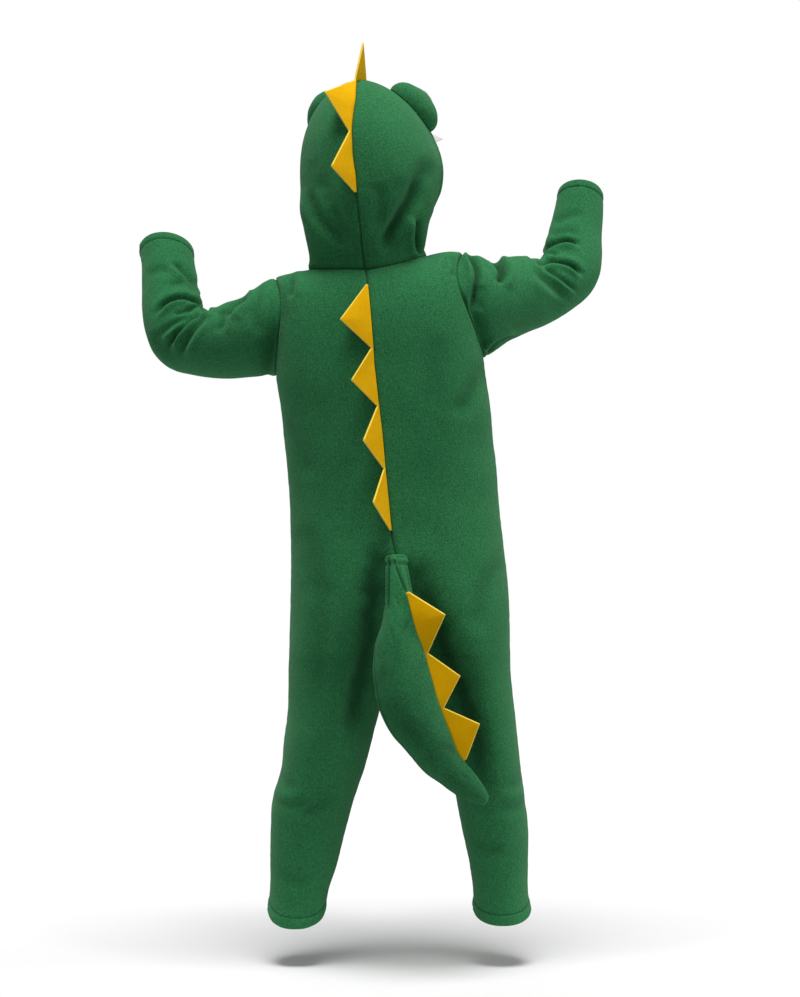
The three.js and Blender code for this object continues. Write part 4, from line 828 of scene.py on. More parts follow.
class Nodes:
    """A material's node tree, in the part's own coordinates."""

    def __init__(self, name):
        self.m = bpy.data.materials.new(name)
        self.m.use_nodes = True
        self.t = self.m.node_tree
        self.shader = self.t.nodes["Principled BSDF"]
        self.place = self.t.nodes.new("ShaderNodeTexCoord").outputs["Object"]

    def put(self, value, socket):
        if hasattr(value, "is_linked"):
            self.t.links.new(value, socket)
        else:
            socket.default_value = value

    def noise(self, scale, detail=3.0, rough=0.6, stretch=None):
        n = self.t.nodes.new("ShaderNodeTexNoise")
        n.inputs["Scale"].default_value = scale
        n.inputs["Detail"].default_value = detail
        n.inputs["Roughness"].default_value = rough
        at = self.place
        if stretch:
            m = self.t.nodes.new("ShaderNodeMapping")
            m.inputs["Scale"].default_value = stretch
            m.inputs["Rotation"].default_value = (0.3, 0.2, 0.5)
            self.t.links.new(at, m.inputs["Vector"])
            at = m.outputs["Vector"]
        self.t.links.new(at, n.inputs["Vector"])
        return n.outputs[0]

    def math(self, op, a, b=0.0, c=None):
        n = self.t.nodes.new("ShaderNodeMath")
        n.operation = op
        self.put(a, n.inputs[0])
        self.put(b, n.inputs[1])
        if c is not None:
            self.put(c, n.inputs[2])
        return n.outputs[0]

    def total(self, parts, start=0.5):
        """start plus each (share, noise about its middle)."""
        out = start
        for share_, value in parts:
            out = self.math("MULTIPLY_ADD", self.math("SUBTRACT", value, 0.5), share_, out)
        return out

    def ramp(self, value, stops):
        n = self.t.nodes.new("ShaderNodeValToRGB")
        while len(n.color_ramp.elements) < len(stops):
            n.color_ramp.elements.new(0.5)
        for e, (at, colour) in zip(n.color_ramp.elements, stops):
            e.position = at
            e.color = colour
        self.t.links.new(value, n.inputs["Fac"])
        return n.outputs["Color"]

    def blend(self, share_, a, b):
        n = self.t.nodes.new("ShaderNodeMix")
        n.data_type = "RGBA"
        for value, i in ((share_, 0), (a, 6), (b, 7)):
            self.put(value, n.inputs[i])
        return n.outputs[2]

    def bump(self, height, distance, strength=1.0, before=None):
        n = self.t.nodes.new("ShaderNodeBump")
        n.inputs["Strength"].default_value = strength
        n.inputs["Distance"].default_value = distance
        self.t.links.new(height, n.inputs["Height"])
        if before is not None:
            self.t.links.new(before, n.inputs["Normal"])
        return n.outputs["Normal"]

    def finish(self, colour, normal=None, rough=1.0, specular=0.15, sheen=0.0, sheen_rough=0.5, sheen_tint=(1, 1, 1, 1)):
        i = self.shader.inputs
        self.put(colour, i["Base Color"])
        self.put(rough, i["Roughness"])
        i["Specular IOR Level"].default_value = specular
        i["Sheen Weight"].default_value = sheen
        i["Sheen Roughness"].default_value = sheen_rough
        i["Sheen Tint"].default_value = sheen_tint
        if normal is not None:
            self.t.links.new(normal, i["Normal"])
        return self.m


PAINTED_SHADE_STRENGTH = 0.72  # how far the painted shade darkens the fleece


def fleece_material():
    n = Nodes("fleece")
    grain, fine, tuft, slow = n.noise(560, 2.0, 0.7), n.noise(1000, 1.0, 0.5), n.noise(260, 2.0, 0.6), n.noise(11, 2.0, 0.5)
    nap = n.noise(430, 2.0, 0.6, (1.0, 1.0, 0.45))
    tone = n.total([(1.3, grain), (0.6, fine), (0.12, tuft), (0.2, slow), (0.3, nap)])
    painted_shade = n.t.nodes.new("ShaderNodeAttribute")
    painted_shade.attribute_name = "painted_shade"
    colour = n.ramp(tone, [(0.05, lin(26, 82, 48)), (0.5, lin(45, 117, 71)), (0.95, lin(68, 146, 96))])
    # painted shade: the fleece is mixed towards a dark green wherever its points carry painted shade
    colour = n.blend(n.math("MULTIPLY", painted_shade.outputs["Fac"], PAINTED_SHADE_STRENGTH), colour, lin(12, 50, 27))
    height = n.total([(0.9, grain), (0.4, fine), (0.3, tuft), (0.4, nap)])
    normal = n.bump(height, 0.0009, 0.6)
    return n.finish(colour, normal, 1.0, 0.05, 0.12, 0.55, lin(196, 226, 196))


def felt_material(name, dark, base, light, sheen=0.1):
    n = Nodes(name)
    grain, fibre, slow = n.noise(900, 2.0, 0.6), n.noise(520, 3.0, 0.65, (1.0, 0.5, 0.3)), n.noise(40, 2.0, 0.5)
    tone = n.total([(0.3, grain), (0.3, fibre), (0.3, slow)])
    colour = n.ramp(tone, [(0.1, dark), (0.5, base), (0.95, light)])
    normal = n.bump(n.total([(0.8, grain), (0.8, fibre)]), 0.0003, 0.5)
    return n.finish(colour, normal, 1.0, 0.1, sheen, 0.5, light)


def thread_material(name, dark, base):
    n = Nodes(name)
    twist = n.noise(1500, 1.0, 0.5, (1.0, 1.0, 1.0))
    return n.finish(n.ramp(twist, [(0.3, dark), (0.7, base)]), n.bump(twist, 0.0003, 0.6), 0.7, 0.3, 0.1)


FLEECE = fleece_material()
SPIKE = felt_material("spike_felt", lin(206, 144, 0), lin(232, 176, 6), lin(246, 198, 30))
# painted light: a lighter copy of the spike felt for the tail's spikes, which face down and catch less light
TAIL_SPIKE_PAINTED_LIGHTER = felt_material("tail_spike_felt_painted_lighter", lin(248, 168, 0), lin(255, 193, 2), lin(255, 208, 26))
# painted highlight: a paler copy of the spike felt for the spikes' cut edges
SPIKE_EDGE_HIGHLIGHT = felt_material("spike_felt_painted_edge_highlight", lin(236, 186, 40), lin(255, 218, 84), lin(255, 232, 128))
WHITE_FELT = felt_material("white_felt", lin(184, 184, 178), lin(210, 211, 205), lin(230, 230, 226))
BLACK_FELT = felt_material("black_felt", lin(14, 14, 16), lin(27, 27, 30), lin(48, 48, 52))
GREEN_THREAD = thread_material("green_thread", lin(20, 56, 32), lin(36, 86, 52))
PALE_THREAD = thread_material("pale_thread", lin(170, 170, 164), lin(214, 214, 208))


# ---------- the sewn shell ----------
grids, facts = {}, {}
for side in ("left", "right"):
    s = 1 if side == "left" else -1
    back, front = panel(side, 1), panel(side, -1)
    low = len(YOKE_V)
    loop = np.concatenate([back[low::-1, 0], front[1:low, 0]])
    phi = np.concatenate([[0], np.pi * YOKE_V[::-1], 2 * np.pi - np.pi * YOKE_V[1:]])
    grids["back_" + side], facts["back_" + side] = back, dict(face=1, sign=-s, wrap=False, hem=13.0)
    grids["front_" + side], facts["front_" + side] = front, dict(face=-1, sign=s, wrap=False, hem=13.0)
    grids["sleeve_" + side], facts["sleeve_" + side] = sleeve(side, loop, phi), dict(face=0, sign=s, wrap=True, hem=11.0)
    neck_row = np.concatenate([back[0, NS:][::-1], front[0, NS + 1:]])
    t = np.concatenate([90 * (1 - NECK_FR[::-1]), 90 + 90 * NECK_FR[1:]])
    a = HOOD_A * 93
    hood = hood_point(s, a[:, None], t[None, :])
    hood[0] = neck_row
    hood[:, 0, :] = (hood_point(1, a, 0) + hood_point(-1, a, 0)) / 2
    hood[0, 0] = neck_row[0]
    hood[:, -1, :] = (hood_point(1, a, 180) + hood_point(-1, a, 180)) / 2
    hood[0, -1] = neck_row[-1]
    grids["hood_" + side], facts["hood_" + side] = hood, dict(face=1, sign=-s, wrap=False, hem=None)

normals = {k: own_normals(g, facts[k]["sign"], facts[k]["wrap"]) for k, g in grids.items()}
for k, g in grids.items():
    share(g, normals[k], facts[k]["wrap"])
normals = {k: settle(g, normals[k], facts[k]["wrap"]) for k, g in grids.items()}


def swell(p):
    """The cloth's slow waviness."""
    return 1.3 * noise(p / 105.0) + 0.55 * noise(p / 38.0 + 7.3)


def folded(name, p):
    """The part's own largest folds."""
    out = np.zeros(p.shape[:2])
    for i, on in enumerate(FOLD_ON):
        if on != name:
            continue
        x1, z1, x2, z2, depth, width = (FOLDS[c][i] for c in ("x1", "z1", "x2", "z2", "depth", "width"))
        dx, dz = x2 - x1, z2 - z1
        length = math.hypot(dx, dz)
        along = ((p[..., 0] - x1) * dx + (p[..., 2] - z1) * dz) / length
        off = ((p[..., 0] - x1) * dz - (p[..., 2] - z1) * dx) / length
        out -= depth * np.exp(-((off / (width * 0.55)) ** 2)) * smooth(-12, 12, along) * smooth(length + 12, length - 12, along)
    return out


WIDER = 1.2
DEEPER = 1.75  # how much deeper than in its row a crease is pressed into the pile


def creased(name, p, n):
    out = np.zeros(p.shape[:2])
    for on, face, line, depth, width, lip, open_ in CREASES:
        if on != name:
            continue
        d, at = near_line(p[..., 0], p[..., 2], line)
        width = width * (WIDER if width < 6 else 1.1)
        d = d + 0.2 * width * noise(p / 17.0 + 3.1)
        ends = mix(smooth(0, 0.22, at), 1.0, open_) * smooth(1.0, 0.7, at)
        facing = smooth(-0.15, 0.3, n[..., 1] * face)
        one = -depth * DEEPER * np.exp(-((d / width) ** 2))
        if lip:
            one = one + abs(lip) * 1.4 * np.exp(-(((d - np.sign(lip) * 2.1 * width) / (1.25 * width)) ** 2))
        one = one + 0.16 * depth * DEEPER * np.exp(-(((np.abs(d) - 2.2 * width) / (1.2 * width)) ** 2))
        out += one * ends * facing
    return out


SEAM_PULL = -0.12  # sewn edges press into each other
built = {}
for name, g in grids.items():
    f, n = facts[name], normals[name]
    from_top, from_end, first, last = runs(g, f["wrap"])
    if f["wrap"]:
        seam = from_top
    elif f["hem"] is None:
        seam = np.minimum(np.minimum(from_top, from_end), np.minimum(first, last))
    else:
        seam = np.minimum(from_top, np.minimum(first, last))
    calm = smooth(0.3, 7.0, seam)
    bare = swell(g)
    broad, sharp = folded(name, g) * smooth(0, 16, seam), creased(name, g, n) * calm
    relief = bare + seam_dip(seam, g) + broad + sharp
    thick = np.full(seam.shape, WALL)
    if f["wrap"]:
        under = np.minimum(first, last)
        relief += (-0.9 * np.exp(-((under / 2.6) ** 2)) + 0.4 * np.exp(-(((under - 8) / 4.5) ** 2))) * smooth(0, 14, from_top)
    if f["hem"]:
        relief += stitch_dip(from_end, f["hem"], g)
        relief += 0.7 * noise(g / 26.0 + 1.7) * np.exp(-from_end / 16.0)
        thick += 1.3 * (1 - smooth(f["hem"] - 1.5, f["hem"] + 1.0, from_end))
    outer = g + n * relief[..., None]
    pulled = outer.copy()
    pulled[0] += unit(outer[1] - outer[0]) * SEAM_PULL
    if not f["wrap"]:
        pulled[:, 0] += unit(outer[:, 1] - outer[:, 0]) * SEAM_PULL
        pulled[:, -1] += unit(outer[:, -2] - outer[:, -1]) * SEAM_PULL
        if f["hem"] is None:
            pulled[-1] += unit(outer[-2] - outer[-1]) * SEAM_PULL
    inner = pulled - n * thick[..., None]
    built[name] = dict(outer=outer, bare=g + n * bare[..., None], from_end=from_end, n=n)
    closed(name + "_cloth", pulled, inner, [FLEECE], wrap=f["wrap"], round_end=f["hem"] is not None)
    # painted shade: darker in the creases and folds, along each seam, and more so from the crotch down the legs
    paint_shade(name + "_cloth", np.maximum(-(sharp + 0.25 * broad) / 8.5, 0) + 0.25 * np.exp(-((seam / 1.3) ** 2)) + 0.16 * smooth(-520, -780, g[..., 2]))


# ---------- the band round the face ----------
path_t = np.concatenate([np.linspace(179, 0, 130), np.linspace(0, 179, 130)[1:]])
path_s = np.concatenate([np.full(130, 1.0), np.full(129, -1.0)])
BAND_A = 93.12 + (100 - 93.12) * graded(28, 2.2, start=True, end=True)


def across_mouth(a, t, s):
    """Out of the hood's mouth at a place on the band, square to it."""
    p = hood_point(s, a, t)
    along = np.gradient(p, axis=1)
    ahead = np.gradient(p, axis=0)
    q = unit(np.cross(along, ahead))
    return q * np.where(((p - hood_centre(a)) * q).sum(-1, keepdims=True) < 0, -1, 1)


band = hood_point(path_s[None, :], BAND_A[:, None], path_t[None, :])
band_n = across_mouth(BAND_A[:, None], path_t[None, :], path_s[None, :])
down = np.concatenate([np.zeros((1, band.shape[1])), np.cumsum(np.linalg.norm(np.diff(band, axis=0), axis=2), 0)])
relief = swell(band) + seam_dip(down, band) + 0.9 * smooth(0, 6, down) * smooth(0, 6, down[-1] - down) + 0.35 * noise(band / 9.0)
relief += 0.5 * noise(band / 22.0) * smooth(4, 20, down)
band_outer = band + band_n * relief[..., None]
band_inner = band_outer - band_n * (WALL + 1.1 * smooth(1, 5, down))[..., None]
closed("hood_band_cloth", band_outer, band_inner, [FLEECE], round_end=True)


# ---------- teeth ----------
def teeth():
    per = 28
    u = np.arange(TEETH["count"] * per + 1) / per
    f = u - np.floor(u)
    w = TEETH["width"]
    rise = np.clip(1 - np.abs(f - 0.5) / (w / 2), 0, 1) ** 1.06
    h = TEETH["base"] + (TEETH["h"] - TEETH["base"]) * rise
    t = mix(-TEETH["reach"], TEETH["reach"], u / TEETH["count"])
    s = np.where(t > 0, -1.0, 1.0)
    at = np.abs(t)
    p, q = hood_point(s, 100.3, at), hood_point(s, 93, at)
    out = hood_normal(s, np.full_like(at, 97.0), np.maximum(1, at))
    toward = unit(unit(p - q) * 1.25 + out * 0.9)
    share_ = np.array([0, 0.12, 0.25, 0.4, 0.55, 0.7, 0.82, 0.91, 0.965, 1.0])[:, None, None]
    base = p - toward * 2.6
    rows = base[None] + toward[None] * (h[None, :, None] + 2.6) * share_
    curl = (1.4 * noise1(u * 1.3, 4) * (share_[..., 0] ** 2) * (h[None] / TEETH["h"]))[..., None]
    rows = rows + out[None] * curl
    half = np.array([1, 1, 1, 1, 1, 1, 1, 1, 0.92, 0.62])[:, None, None] * 0.9
    mid = rows + out[None] * (-0.3 - 0.9)
    ob = closed("teeth_felt", mid + out[None] * half, mid - out[None] * half, [WHITE_FELT], round_end=True)
    return ob


teeth()

# ---------- the lapped strip of the front opening ----------
def strip_line(side, offset):
    """Points and directions on a front panel, this far from the centre seam."""
    b = built["front_" + side]
    p, n = b["bare"][:, ::-1], b["n"][:, ::-1]
    run = np.concatenate([np.zeros((len(p), 1)), np.cumsum(np.linalg.norm(np.diff(p, axis=1), axis=2), axis=1)], axis=1)
    out = np.array([[np.interp(offset, run[i], p[i, :, c]) for c in range(3)] for i in range(len(p))])
    dirs = np.array([[np.interp(offset, run[i], n[i, :, c]) for c in range(3)] for i in range(len(p))])
    return out, unit(dirs)


across = np.array([11, 10.7, 10.2, 9.4, 8.6, 7.8, 6.6, 5, 3, 1, 0])
lines = [strip_line("left", d) for d in across] + [strip_line("right", d) for d in across[::-1][1:]]
pts, dirs = np.stack([x[0] for x in lines], axis=1), np.stack([x[1] for x in lines], axis=1)
down_to = int(np.argmax(pts[:, 10, 2] < -400))
pts, dirs = pts[1:down_to], dirs[1:down_to]
offs = np.concatenate([across, across[::-1][1:]])
edge = 11 - offs
relief = -0.55 * np.exp(-(((edge - 2.6) / 0.9) ** 2))[None, :] + 0.45 * np.exp(-(((edge - 6) / 3.5) ** 2))[None, :]
relief = relief + 0.35 * noise(pts / 9.0) + 0.5 * noise(pts / 30.0)
placket_outer = pts + dirs * (2.6 + relief)[..., None]
closed("front_placket_cloth", placket_outer, pts + dirs * 0.5, [FLEECE], round_end=True, round_top=True, round_sides=True)


# ---------- felt spikes ----------
def straightened(grid, spike):
    """Each spike's cut edges run straight from its feet to its tip, and the felt follows them."""
    grid = grid.copy()
    for i in range(int(spike[-1]) + 1):
        own = np.flatnonzero(spike == i)
        first, tip, end = (own[0] if i == 0 else own[0] - 1), own[-1] - 16, own[-1]
        for a, b in ((first, tip), (tip, end)):
            for j in range(a + 1, b):
                k = (j - a) / (b - a)
                goal = mix(grid[-1, a], grid[-1, b], k)
                base, rim = grid[1, j], grid[-1, j]
                run = np.linalg.norm(grid[1:, j] - base, axis=1) / max(1e-6, np.linalg.norm(rim - base))
                grid[1:, j] += (goal - rim) * run[:, None]
    return grid


def crest(name, spikes, base, lift):
    """A strip of felt with its spikes, from its place in the seam to its cut edge."""
    places, heights, leans, bows = [], [], [], []
    count = len(spikes["h"])
    for i in range(count):
        k = {c: v[i] for c, v in spikes.items()}
        mid = 0.5 + k["skew"]
        u = np.concatenate([mid * np.linspace(0, 1, 17) ** 1.0, mid + (1 - mid) * np.linspace(0, 1, 17)[1:]])
        u = u if i == 0 else u[1:]
        up = np.where(u < mid, u / mid, (1 - u) / (1 - mid))
        nxt, prv = spikes["lean"][min(i + 1, count - 1)], spikes["lean"][max(0, i - 1)]
        lean = np.where(u > 0.5, mix(k["lean"], (k["lean"] + nxt) / 2, smooth(0.6, 1, u)), mix((k["lean"] + prv) / 2, k["lean"], smooth(0, 0.4, u)))
        places.append(mix(k["from"], k["to"], u))
        heights.append(STRIP + (k["h"] - STRIP) * np.maximum(0, up))
        leans.append(lean)
        bows.append(k["curl"] * 0.16 * np.maximum(0, up) + 0.12 * np.sin(u * 9 + i))
    s, h, lean, bow = (np.concatenate(x) for x in (places, heights, leans, bows))
    p, out, left, along = base(s)
    c, q = np.cos(rad(lean))[:, None], np.sin(rad(lean))[:, None]
    toward = left * c + out * q
    flat = unit(np.cross(toward, along))
    rise = [np.zeros_like(h) - 1.0, np.zeros_like(h)] + [(h - 1.5) * k for k in (0.1, 0.2, 0.32, 0.44, 0.56, 0.68, 0.8, 0.9)] + [h - 1.5, h - 0.8, h - 0.3, h]
    rows, halves = [], []
    for j, r in enumerate(rise):
        if j == 0:
            at = p - out * 1.9
        else:
            at = p + out * lift + toward * r[:, None]
        share_ = np.clip(r / h, 0, 1)
        ripple = 0.1 * noise(np.stack([s * 0 + r * 0.11, s * 0.0 + lean * 0, np.arange(len(s)) * 0.16], axis=-1))
        at = at + flat * (bow * share_**2 + ripple * share_)[:, None]
        rows.append(at)
        halves.append(FELT / 2 * (0.82 if j == len(rise) - 1 else 1.0))
    mid_grid = np.array(rows)
    mid_grid = straightened(mid_grid, np.concatenate([np.full(32 if i else 33, i) for i in range(count)]))
    half = np.array(halves)[:, None, None]
    ob = closed(name, mid_grid + flat[None] * half, mid_grid - flat[None] * half, [TAIL_SPIKE_PAINTED_LIGHTER if name.startswith("tail") else SPIKE, SPIKE_EDGE_HIGHLIGHT], round_end=True, edge_index=1)
    r, c = mid_grid.shape[:2]
    rim = np.zeros(len(ob.data.polygons), np.int32)
    ob.data.polygons.foreach_get("material_index", rim)
    block = (r - 1) * (c - 1)
    for start in (0, block):
        rim[start + (r - 3) * (c - 1): start + block] = 1  # painted highlight: the cut edge and the felt beside it turn paler
    ob.data.polygons.foreach_set("material_index", rim)
    return ob


def seam_base(points, outs, keys):
    """Places on a seam by key, with the direction out of the cloth, to the garment's left and along."""
    order = np.argsort(keys)
    keys_, pts_, outs_ = keys[order], points[order], outs[order]

    def at(s):
        p = np.stack([np.interp(s, keys_, pts_[:, c]) for c in range(3)], axis=-1)
        o = unit(np.stack([np.interp(s, keys_, outs_[:, c]) for c in range(3)], axis=-1))
        far = (keys_[-1] - keys_[0]) * 0.03
        ahead = np.stack([np.interp(s + far, keys_, pts_[:, c]) - np.interp(s - far, keys_, pts_[:, c]) for c in range(3)], axis=-1)
        g = unit(ahead)
        left = unit(np.cross(g, o))
        left = left * np.where(left[:, :1] < 0, -1, 1)
        return p, o, left, g

    return at


b = built["back_left"]
above = b["bare"][:, -1, 2] > CROTCH + 30
crest("back_crest_felt", BACK_SPIKES, seam_base(b["bare"][above, -1], b["n"][above, -1], b["bare"][above, -1, 2]), FELT / 2 + 0.5 + 0.6)
b = built["hood_left"]
crest("hood_crest_felt", HOOD_SPIKES, seam_base(b["bare"][:, 0], b["n"][:, 0], HOOD_A * 93), FELT / 2 + 0.5 + 1)


# ---------- tail ----------
def tail_at(k):
    n = len(TAIL["i"]) - 1
    k = np.asarray(k, float)
    r, a, b = lookup(TAIL, "i", np.clip(k, 0, n)), lookup(TAIL, "i", np.clip(k - 0.3, 0, n)), lookup(TAIL, "i", np.clip(k + 0.3, 0, n))
    along = unit(np.stack([b["x"] - a["x"], 0 * k, b["z"] - a["z"]], axis=-1))
    across_ = np.stack([along[..., 2], 0 * k, -along[..., 0]], axis=-1)
    across_ = across_ * np.where(across_[..., :1] > 0, -1, 1)
    return r, np.stack([r["x"], r["y"], r["z"]], axis=-1), across_, along


def tail_point(k, psi):
    k, psi = np.broadcast_arrays(np.asarray(k, float), np.asarray(psi, float))
    r, c, across_, _ = tail_at(k)
    ang = rad(r["turn"] + psi)
    peak = 1 + 0.1 * np.exp(-(((np.mod(psi + 540, 360) - 180) / 22) ** 2))
    return c + across_ * (r["w"] * peak * np.cos(ang))[..., None] + np.array([0, 1.0, 0]) * (r["d"] * peak * np.sin(ang))[..., None]


def tail():
    seams = [0.0, 180 - UNDER, 180 + UNDER, 360.0]
    psi = np.concatenate([(a + (b - a) * graded(l, 2.3, first=0.45, start=True, end=True))[:-1] for a, b, l in zip(seams[:-1], seams[1:], (88, 34, 88))])
    k_raw = np.linspace(0, 12, 400)
    centre = tail_at(k_raw)[1]
    run = np.concatenate([[0], np.cumsum(np.linalg.norm(np.diff(centre, axis=0), axis=1))])
    k = np.interp(graded(run[-1], 2.5, first=1.2, start=True, end=True) * run[-1], run, k_raw)
    grid = tail_point(k[:, None], psi[None, :])
    n = own_normals(grid, 1, True)
    c = tail_at(k)[1][:, None, :]
    n = n * np.sign(((grid - c) * n).sum(-1).mean())
    ring = np.linalg.norm(np.roll(grid, -1, 1) - grid, axis=2)
    place = np.concatenate([np.zeros((len(grid), 1)), np.cumsum(ring, 1)[:, :-1]], axis=1)
    total = ring.sum(1, keepdims=True)
    cuts = [int(np.argmin(np.abs(psi - a))) for a in seams[:3]]
    d = np.min([np.minimum(np.abs(place - place[:, j:j + 1]), total - np.abs(place - place[:, j:j + 1])) for j in cuts], axis=0)
    size = lookup(TAIL, "i", k)["w"][:, None]
    scale = np.clip(size / 30, 0.3, 1)
    relief = seam_dip(d / scale, grid) * 0.9 * scale
    relief += 0.9 * scale * noise(grid / 33.0) + 0.45 * scale * noise(grid / 13.0)
    root = 1 - smooth(0.0, 0.9, k)[:, None]
    relief += root * (1.0 + 1.1 * noise(grid / 5.0))
    # the seam allowance rolls over at the top
    edge = grid[..., 2] + 386.5 + 1.5 * noise(grid / 6.0 + 2.2)
    relief += 1.4 * np.exp(-((edge / 2.0) ** 2)) - 2.2 * np.exp(-(((edge + 4.6) / 1.2) ** 2))
    # the under strip's edge shows beside the root
    x, z = grid[..., 0], grid[..., 2]
    show = smooth(-380, -386, z) * smooth(-452, -440, z) * smooth(0.0, 0.3, n[..., 1])
    line = -28.6 - 0.02 * (z + 386)
    relief += show * (-3.2 * np.exp(-(((x - line) / 1.1) ** 2)) + 1.2 * np.exp(-(((x - line - 2.2) / 1.5) ** 2)))
    # short gathers round the root and the neck of the tail
    for cx, cz, dx, dz, depth, width in (
        (-35, -388, -15, -39, 4.2, 1.3), (-50, -388, -8, -43, 2.4, 1.4),
        (-46, -421, 5, -12, 1.3, 1.8), (-37, -432, -4, -14, 1.1, 2.2), (-54, -462, 6, -16, 1.2, 3.0), (-30, -470, -3, -14, 1.0, 3.0),
        (-98, -622, -14, -10, 0.9, 4.0), (-120, -660, -10, -8, 0.8, 3.0), (-22, -520, 3, -22, 0.8, 5.0),
    ):
        off, at = near_line(x, z, [(cx, cz), (cx + dx, cz + dz)])
        relief -= depth * np.exp(-((off / width) ** 2)) * smooth(-0.1, 0.5, n[..., 1]) * (0.4 + 0.6 * np.sin(np.pi * np.clip(at, 0, 1)))
    skin = grid + n * relief[..., None]
    # painted shade: the whole tail is a little darker, more so in its troughs and along the under strip's edge
    low = 0.2 + np.maximum(show * np.exp(-(((x - line) / 1.3) ** 2)), np.clip(-relief / 4.0, 0, 0.7))
    r0, c0, _, g0 = tail_at(np.array([0.0]))
    r1, c1, _, g1 = tail_at(np.array([12.0]))
    caps_top = [c0 + (skin[0] - c0) * math.cos(rad(a)) - g0 * 3.2 * math.sin(rad(a)) for a in (85, 70, 52, 34, 17)]
    caps_end = [c1 + (skin[-1] - c1) * math.cos(rad(a)) + g1 * 4.6 * math.sin(rad(a)) for a in (15, 30, 45, 60, 74, 86)]
    rows = np.concatenate([np.array(caps_top), skin, np.array(caps_end)])
    m = rows.shape[1]
    ids = np.arange(rows.shape[0] * m).reshape(rows.shape[0], m)
    nx = np.roll(ids, -1, 1)
    faces = [tuple(f) for f in np.stack([ids[:-1], nx[:-1], nx[1:], ids[1:]], axis=-1).reshape(-1, 4).tolist()]
    verts = rows.reshape(-1, 3)
    ends = [rows[0].mean(0), rows[-1].mean(0)]
    verts = np.concatenate([verts, np.array(ends)])
    top, end = len(verts) - 2, len(verts) - 1
    faces += [(top, int(nx[0, j]), int(ids[0, j])) for j in range(m)]
    faces += [(end, int(ids[-1, j]), int(nx[-1, j])) for j in range(m)]
    if signed_volume(verts, faces) < 0:
        faces = [f[::-1] for f in faces]
    mesh_object("tail_stuffed", verts, faces, [FLEECE])
    paint_shade("tail_stuffed", np.concatenate([np.zeros((len(caps_top), m)), low]))


tail()


def tail_base(s):
    p, c = tail_point(s, 0.0), tail_at(s)[1]
    along = unit(tail_point(s + 0.2, 0.0) - tail_point(s - 0.2, 0.0))
    out = p - c
    out = unit(out - along * (out * along).sum(-1, keepdims=True))
    return p, out, unit(np.cross(along, out)), along


crest("tail_crest_felt", TAIL_SPIKES, tail_base, 0.5 + 0.6)


# ---------- eye pads and eyes ----------
def pad_point(s, u, v, out):
    d, k = np.minimum(1, np.hypot(u, v)), PAD[int(s)]
    a, t = k["a"] + k["da"] * u, k["t"] + k["dt"] * v
    p, n = hood_point(s, a, t), hood_normal(np.full_like(u, s), a, t)
    return p + n * (1 + out * k["h"] * (1 - d**2.4) ** 0.5)[..., None], n


def pad_normal(s, u, v):
    e = 0.02
    a = pad_point(s, u + e, v, 1)[0] - pad_point(s, u - e, v, 1)[0]
    b = pad_point(s, u, v + e, 1)[0] - pad_point(s, u, v - e, 1)[0]
    n = unit(np.cross(a, b))
    return n * np.where((n * pad_point(s, u, v, 1)[1]).sum(-1, keepdims=True) < 0, -1, 1)


def disc(name, radii, spokes, upper, lower, mats, rim=None):
    """A closed round piece: an upper face, a lower face, and rings between them at the rim."""
    q = 2 * np.pi * np.arange(spokes) / spokes
    u, v = radii[:, None] * np.cos(q), radii[:, None] * np.sin(q)
    zero = np.zeros(1)
    rings = [upper(zero, zero), upper(u, v).reshape(-1, 3)]
    shut = np.allclose(upper(u, v)[-1], lower(u, v)[-1], atol=1e-4)  # the two faces meet in one edge
    lines = [upper(u, v)[i] for i in range(len(radii))] + (rim or []) + [lower(u, v)[i] for i in reversed(range(len(radii) - int(shut)))]
    verts = np.concatenate([upper(zero, zero)] + lines + [lower(zero, zero)])
    m = spokes
    ids = 1 + np.arange(len(lines) * m).reshape(len(lines), m)
    nx = np.roll(ids, -1, 1)
    faces = [tuple(f) for f in np.stack([ids[:-1], nx[:-1], nx[1:], ids[1:]], axis=-1).reshape(-1, 4).tolist()]
    faces += [(0, int(nx[0, j]), int(ids[0, j])) for j in range(m)]
    end = len(verts) - 1
    faces += [(end, int(ids[-1, j]), int(nx[-1, j])) for j in range(m)]
    if signed_volume(verts, faces) < 0:
        faces = [f[::-1] for f in faces]
    return mesh_object(name, verts, faces, mats)


def stitches(name, line, out, mat, length=2.7, gap=1.0, thick=0.5, loop=False):
    """Short runs of thread along a line on the cloth."""
    line, out = np.asarray(line), np.asarray(out)
    if loop:
        line, out = np.concatenate([line, line[:1]]), np.concatenate([out, out[:1]])
    run = np.concatenate([[0], np.cumsum(np.linalg.norm(np.diff(line, axis=0), axis=1))])
    count = max(1, int(run[-1] / (length + gap)))
    step = run[-1] / count
    verts, faces = [], []
    sides = 5
    shape = np.array([0, 0.14, 0.38, 0.62, 0.86, 1.0])
    high = np.array([-0.35, 0.02, 0.16, 0.16, 0.02, -0.35])
    wide = np.array([0.55, 0.9, 1.0, 1.0, 0.9, 0.55])
    for i in range(count):
        s = i * step + gap / 2 + shape * (step - gap)
        p = np.stack([np.interp(s, run, line[:, c]) for c in range(3)], axis=-1)
        o = unit(np.stack([np.interp(s, run, out[:, c]) for c in range(3)], axis=-1))
        g = unit(np.gradient(p, axis=0))
        w = unit(np.cross(g, o))
        first_ = len(verts)
        for j in range(len(s)):
            for m in range(sides):
                ang = 2 * math.pi * m / sides
                verts.append(p[j] + o[j] * (high[j] + thick / 2 * wide[j] * math.sin(ang)) + w[j] * thick / 2 * wide[j] * math.cos(ang))
        for j in range(len(s) - 1):
            for m in range(sides):
                a, b = first_ + j * sides + m, first_ + j * sides + (m + 1) % sides
                faces.append((a, b, b + sides, a + sides))
        faces.append(tuple(first_ + m for m in reversed(range(sides))))
        faces.append(tuple(first_ + (len(s) - 1) * sides + m for m in range(sides)))
    verts = np.array(verts)
    if signed_volume(verts, faces) < 0:
        faces = [f[::-1] for f in faces]
    return mesh_object(name, verts, faces, [mat])


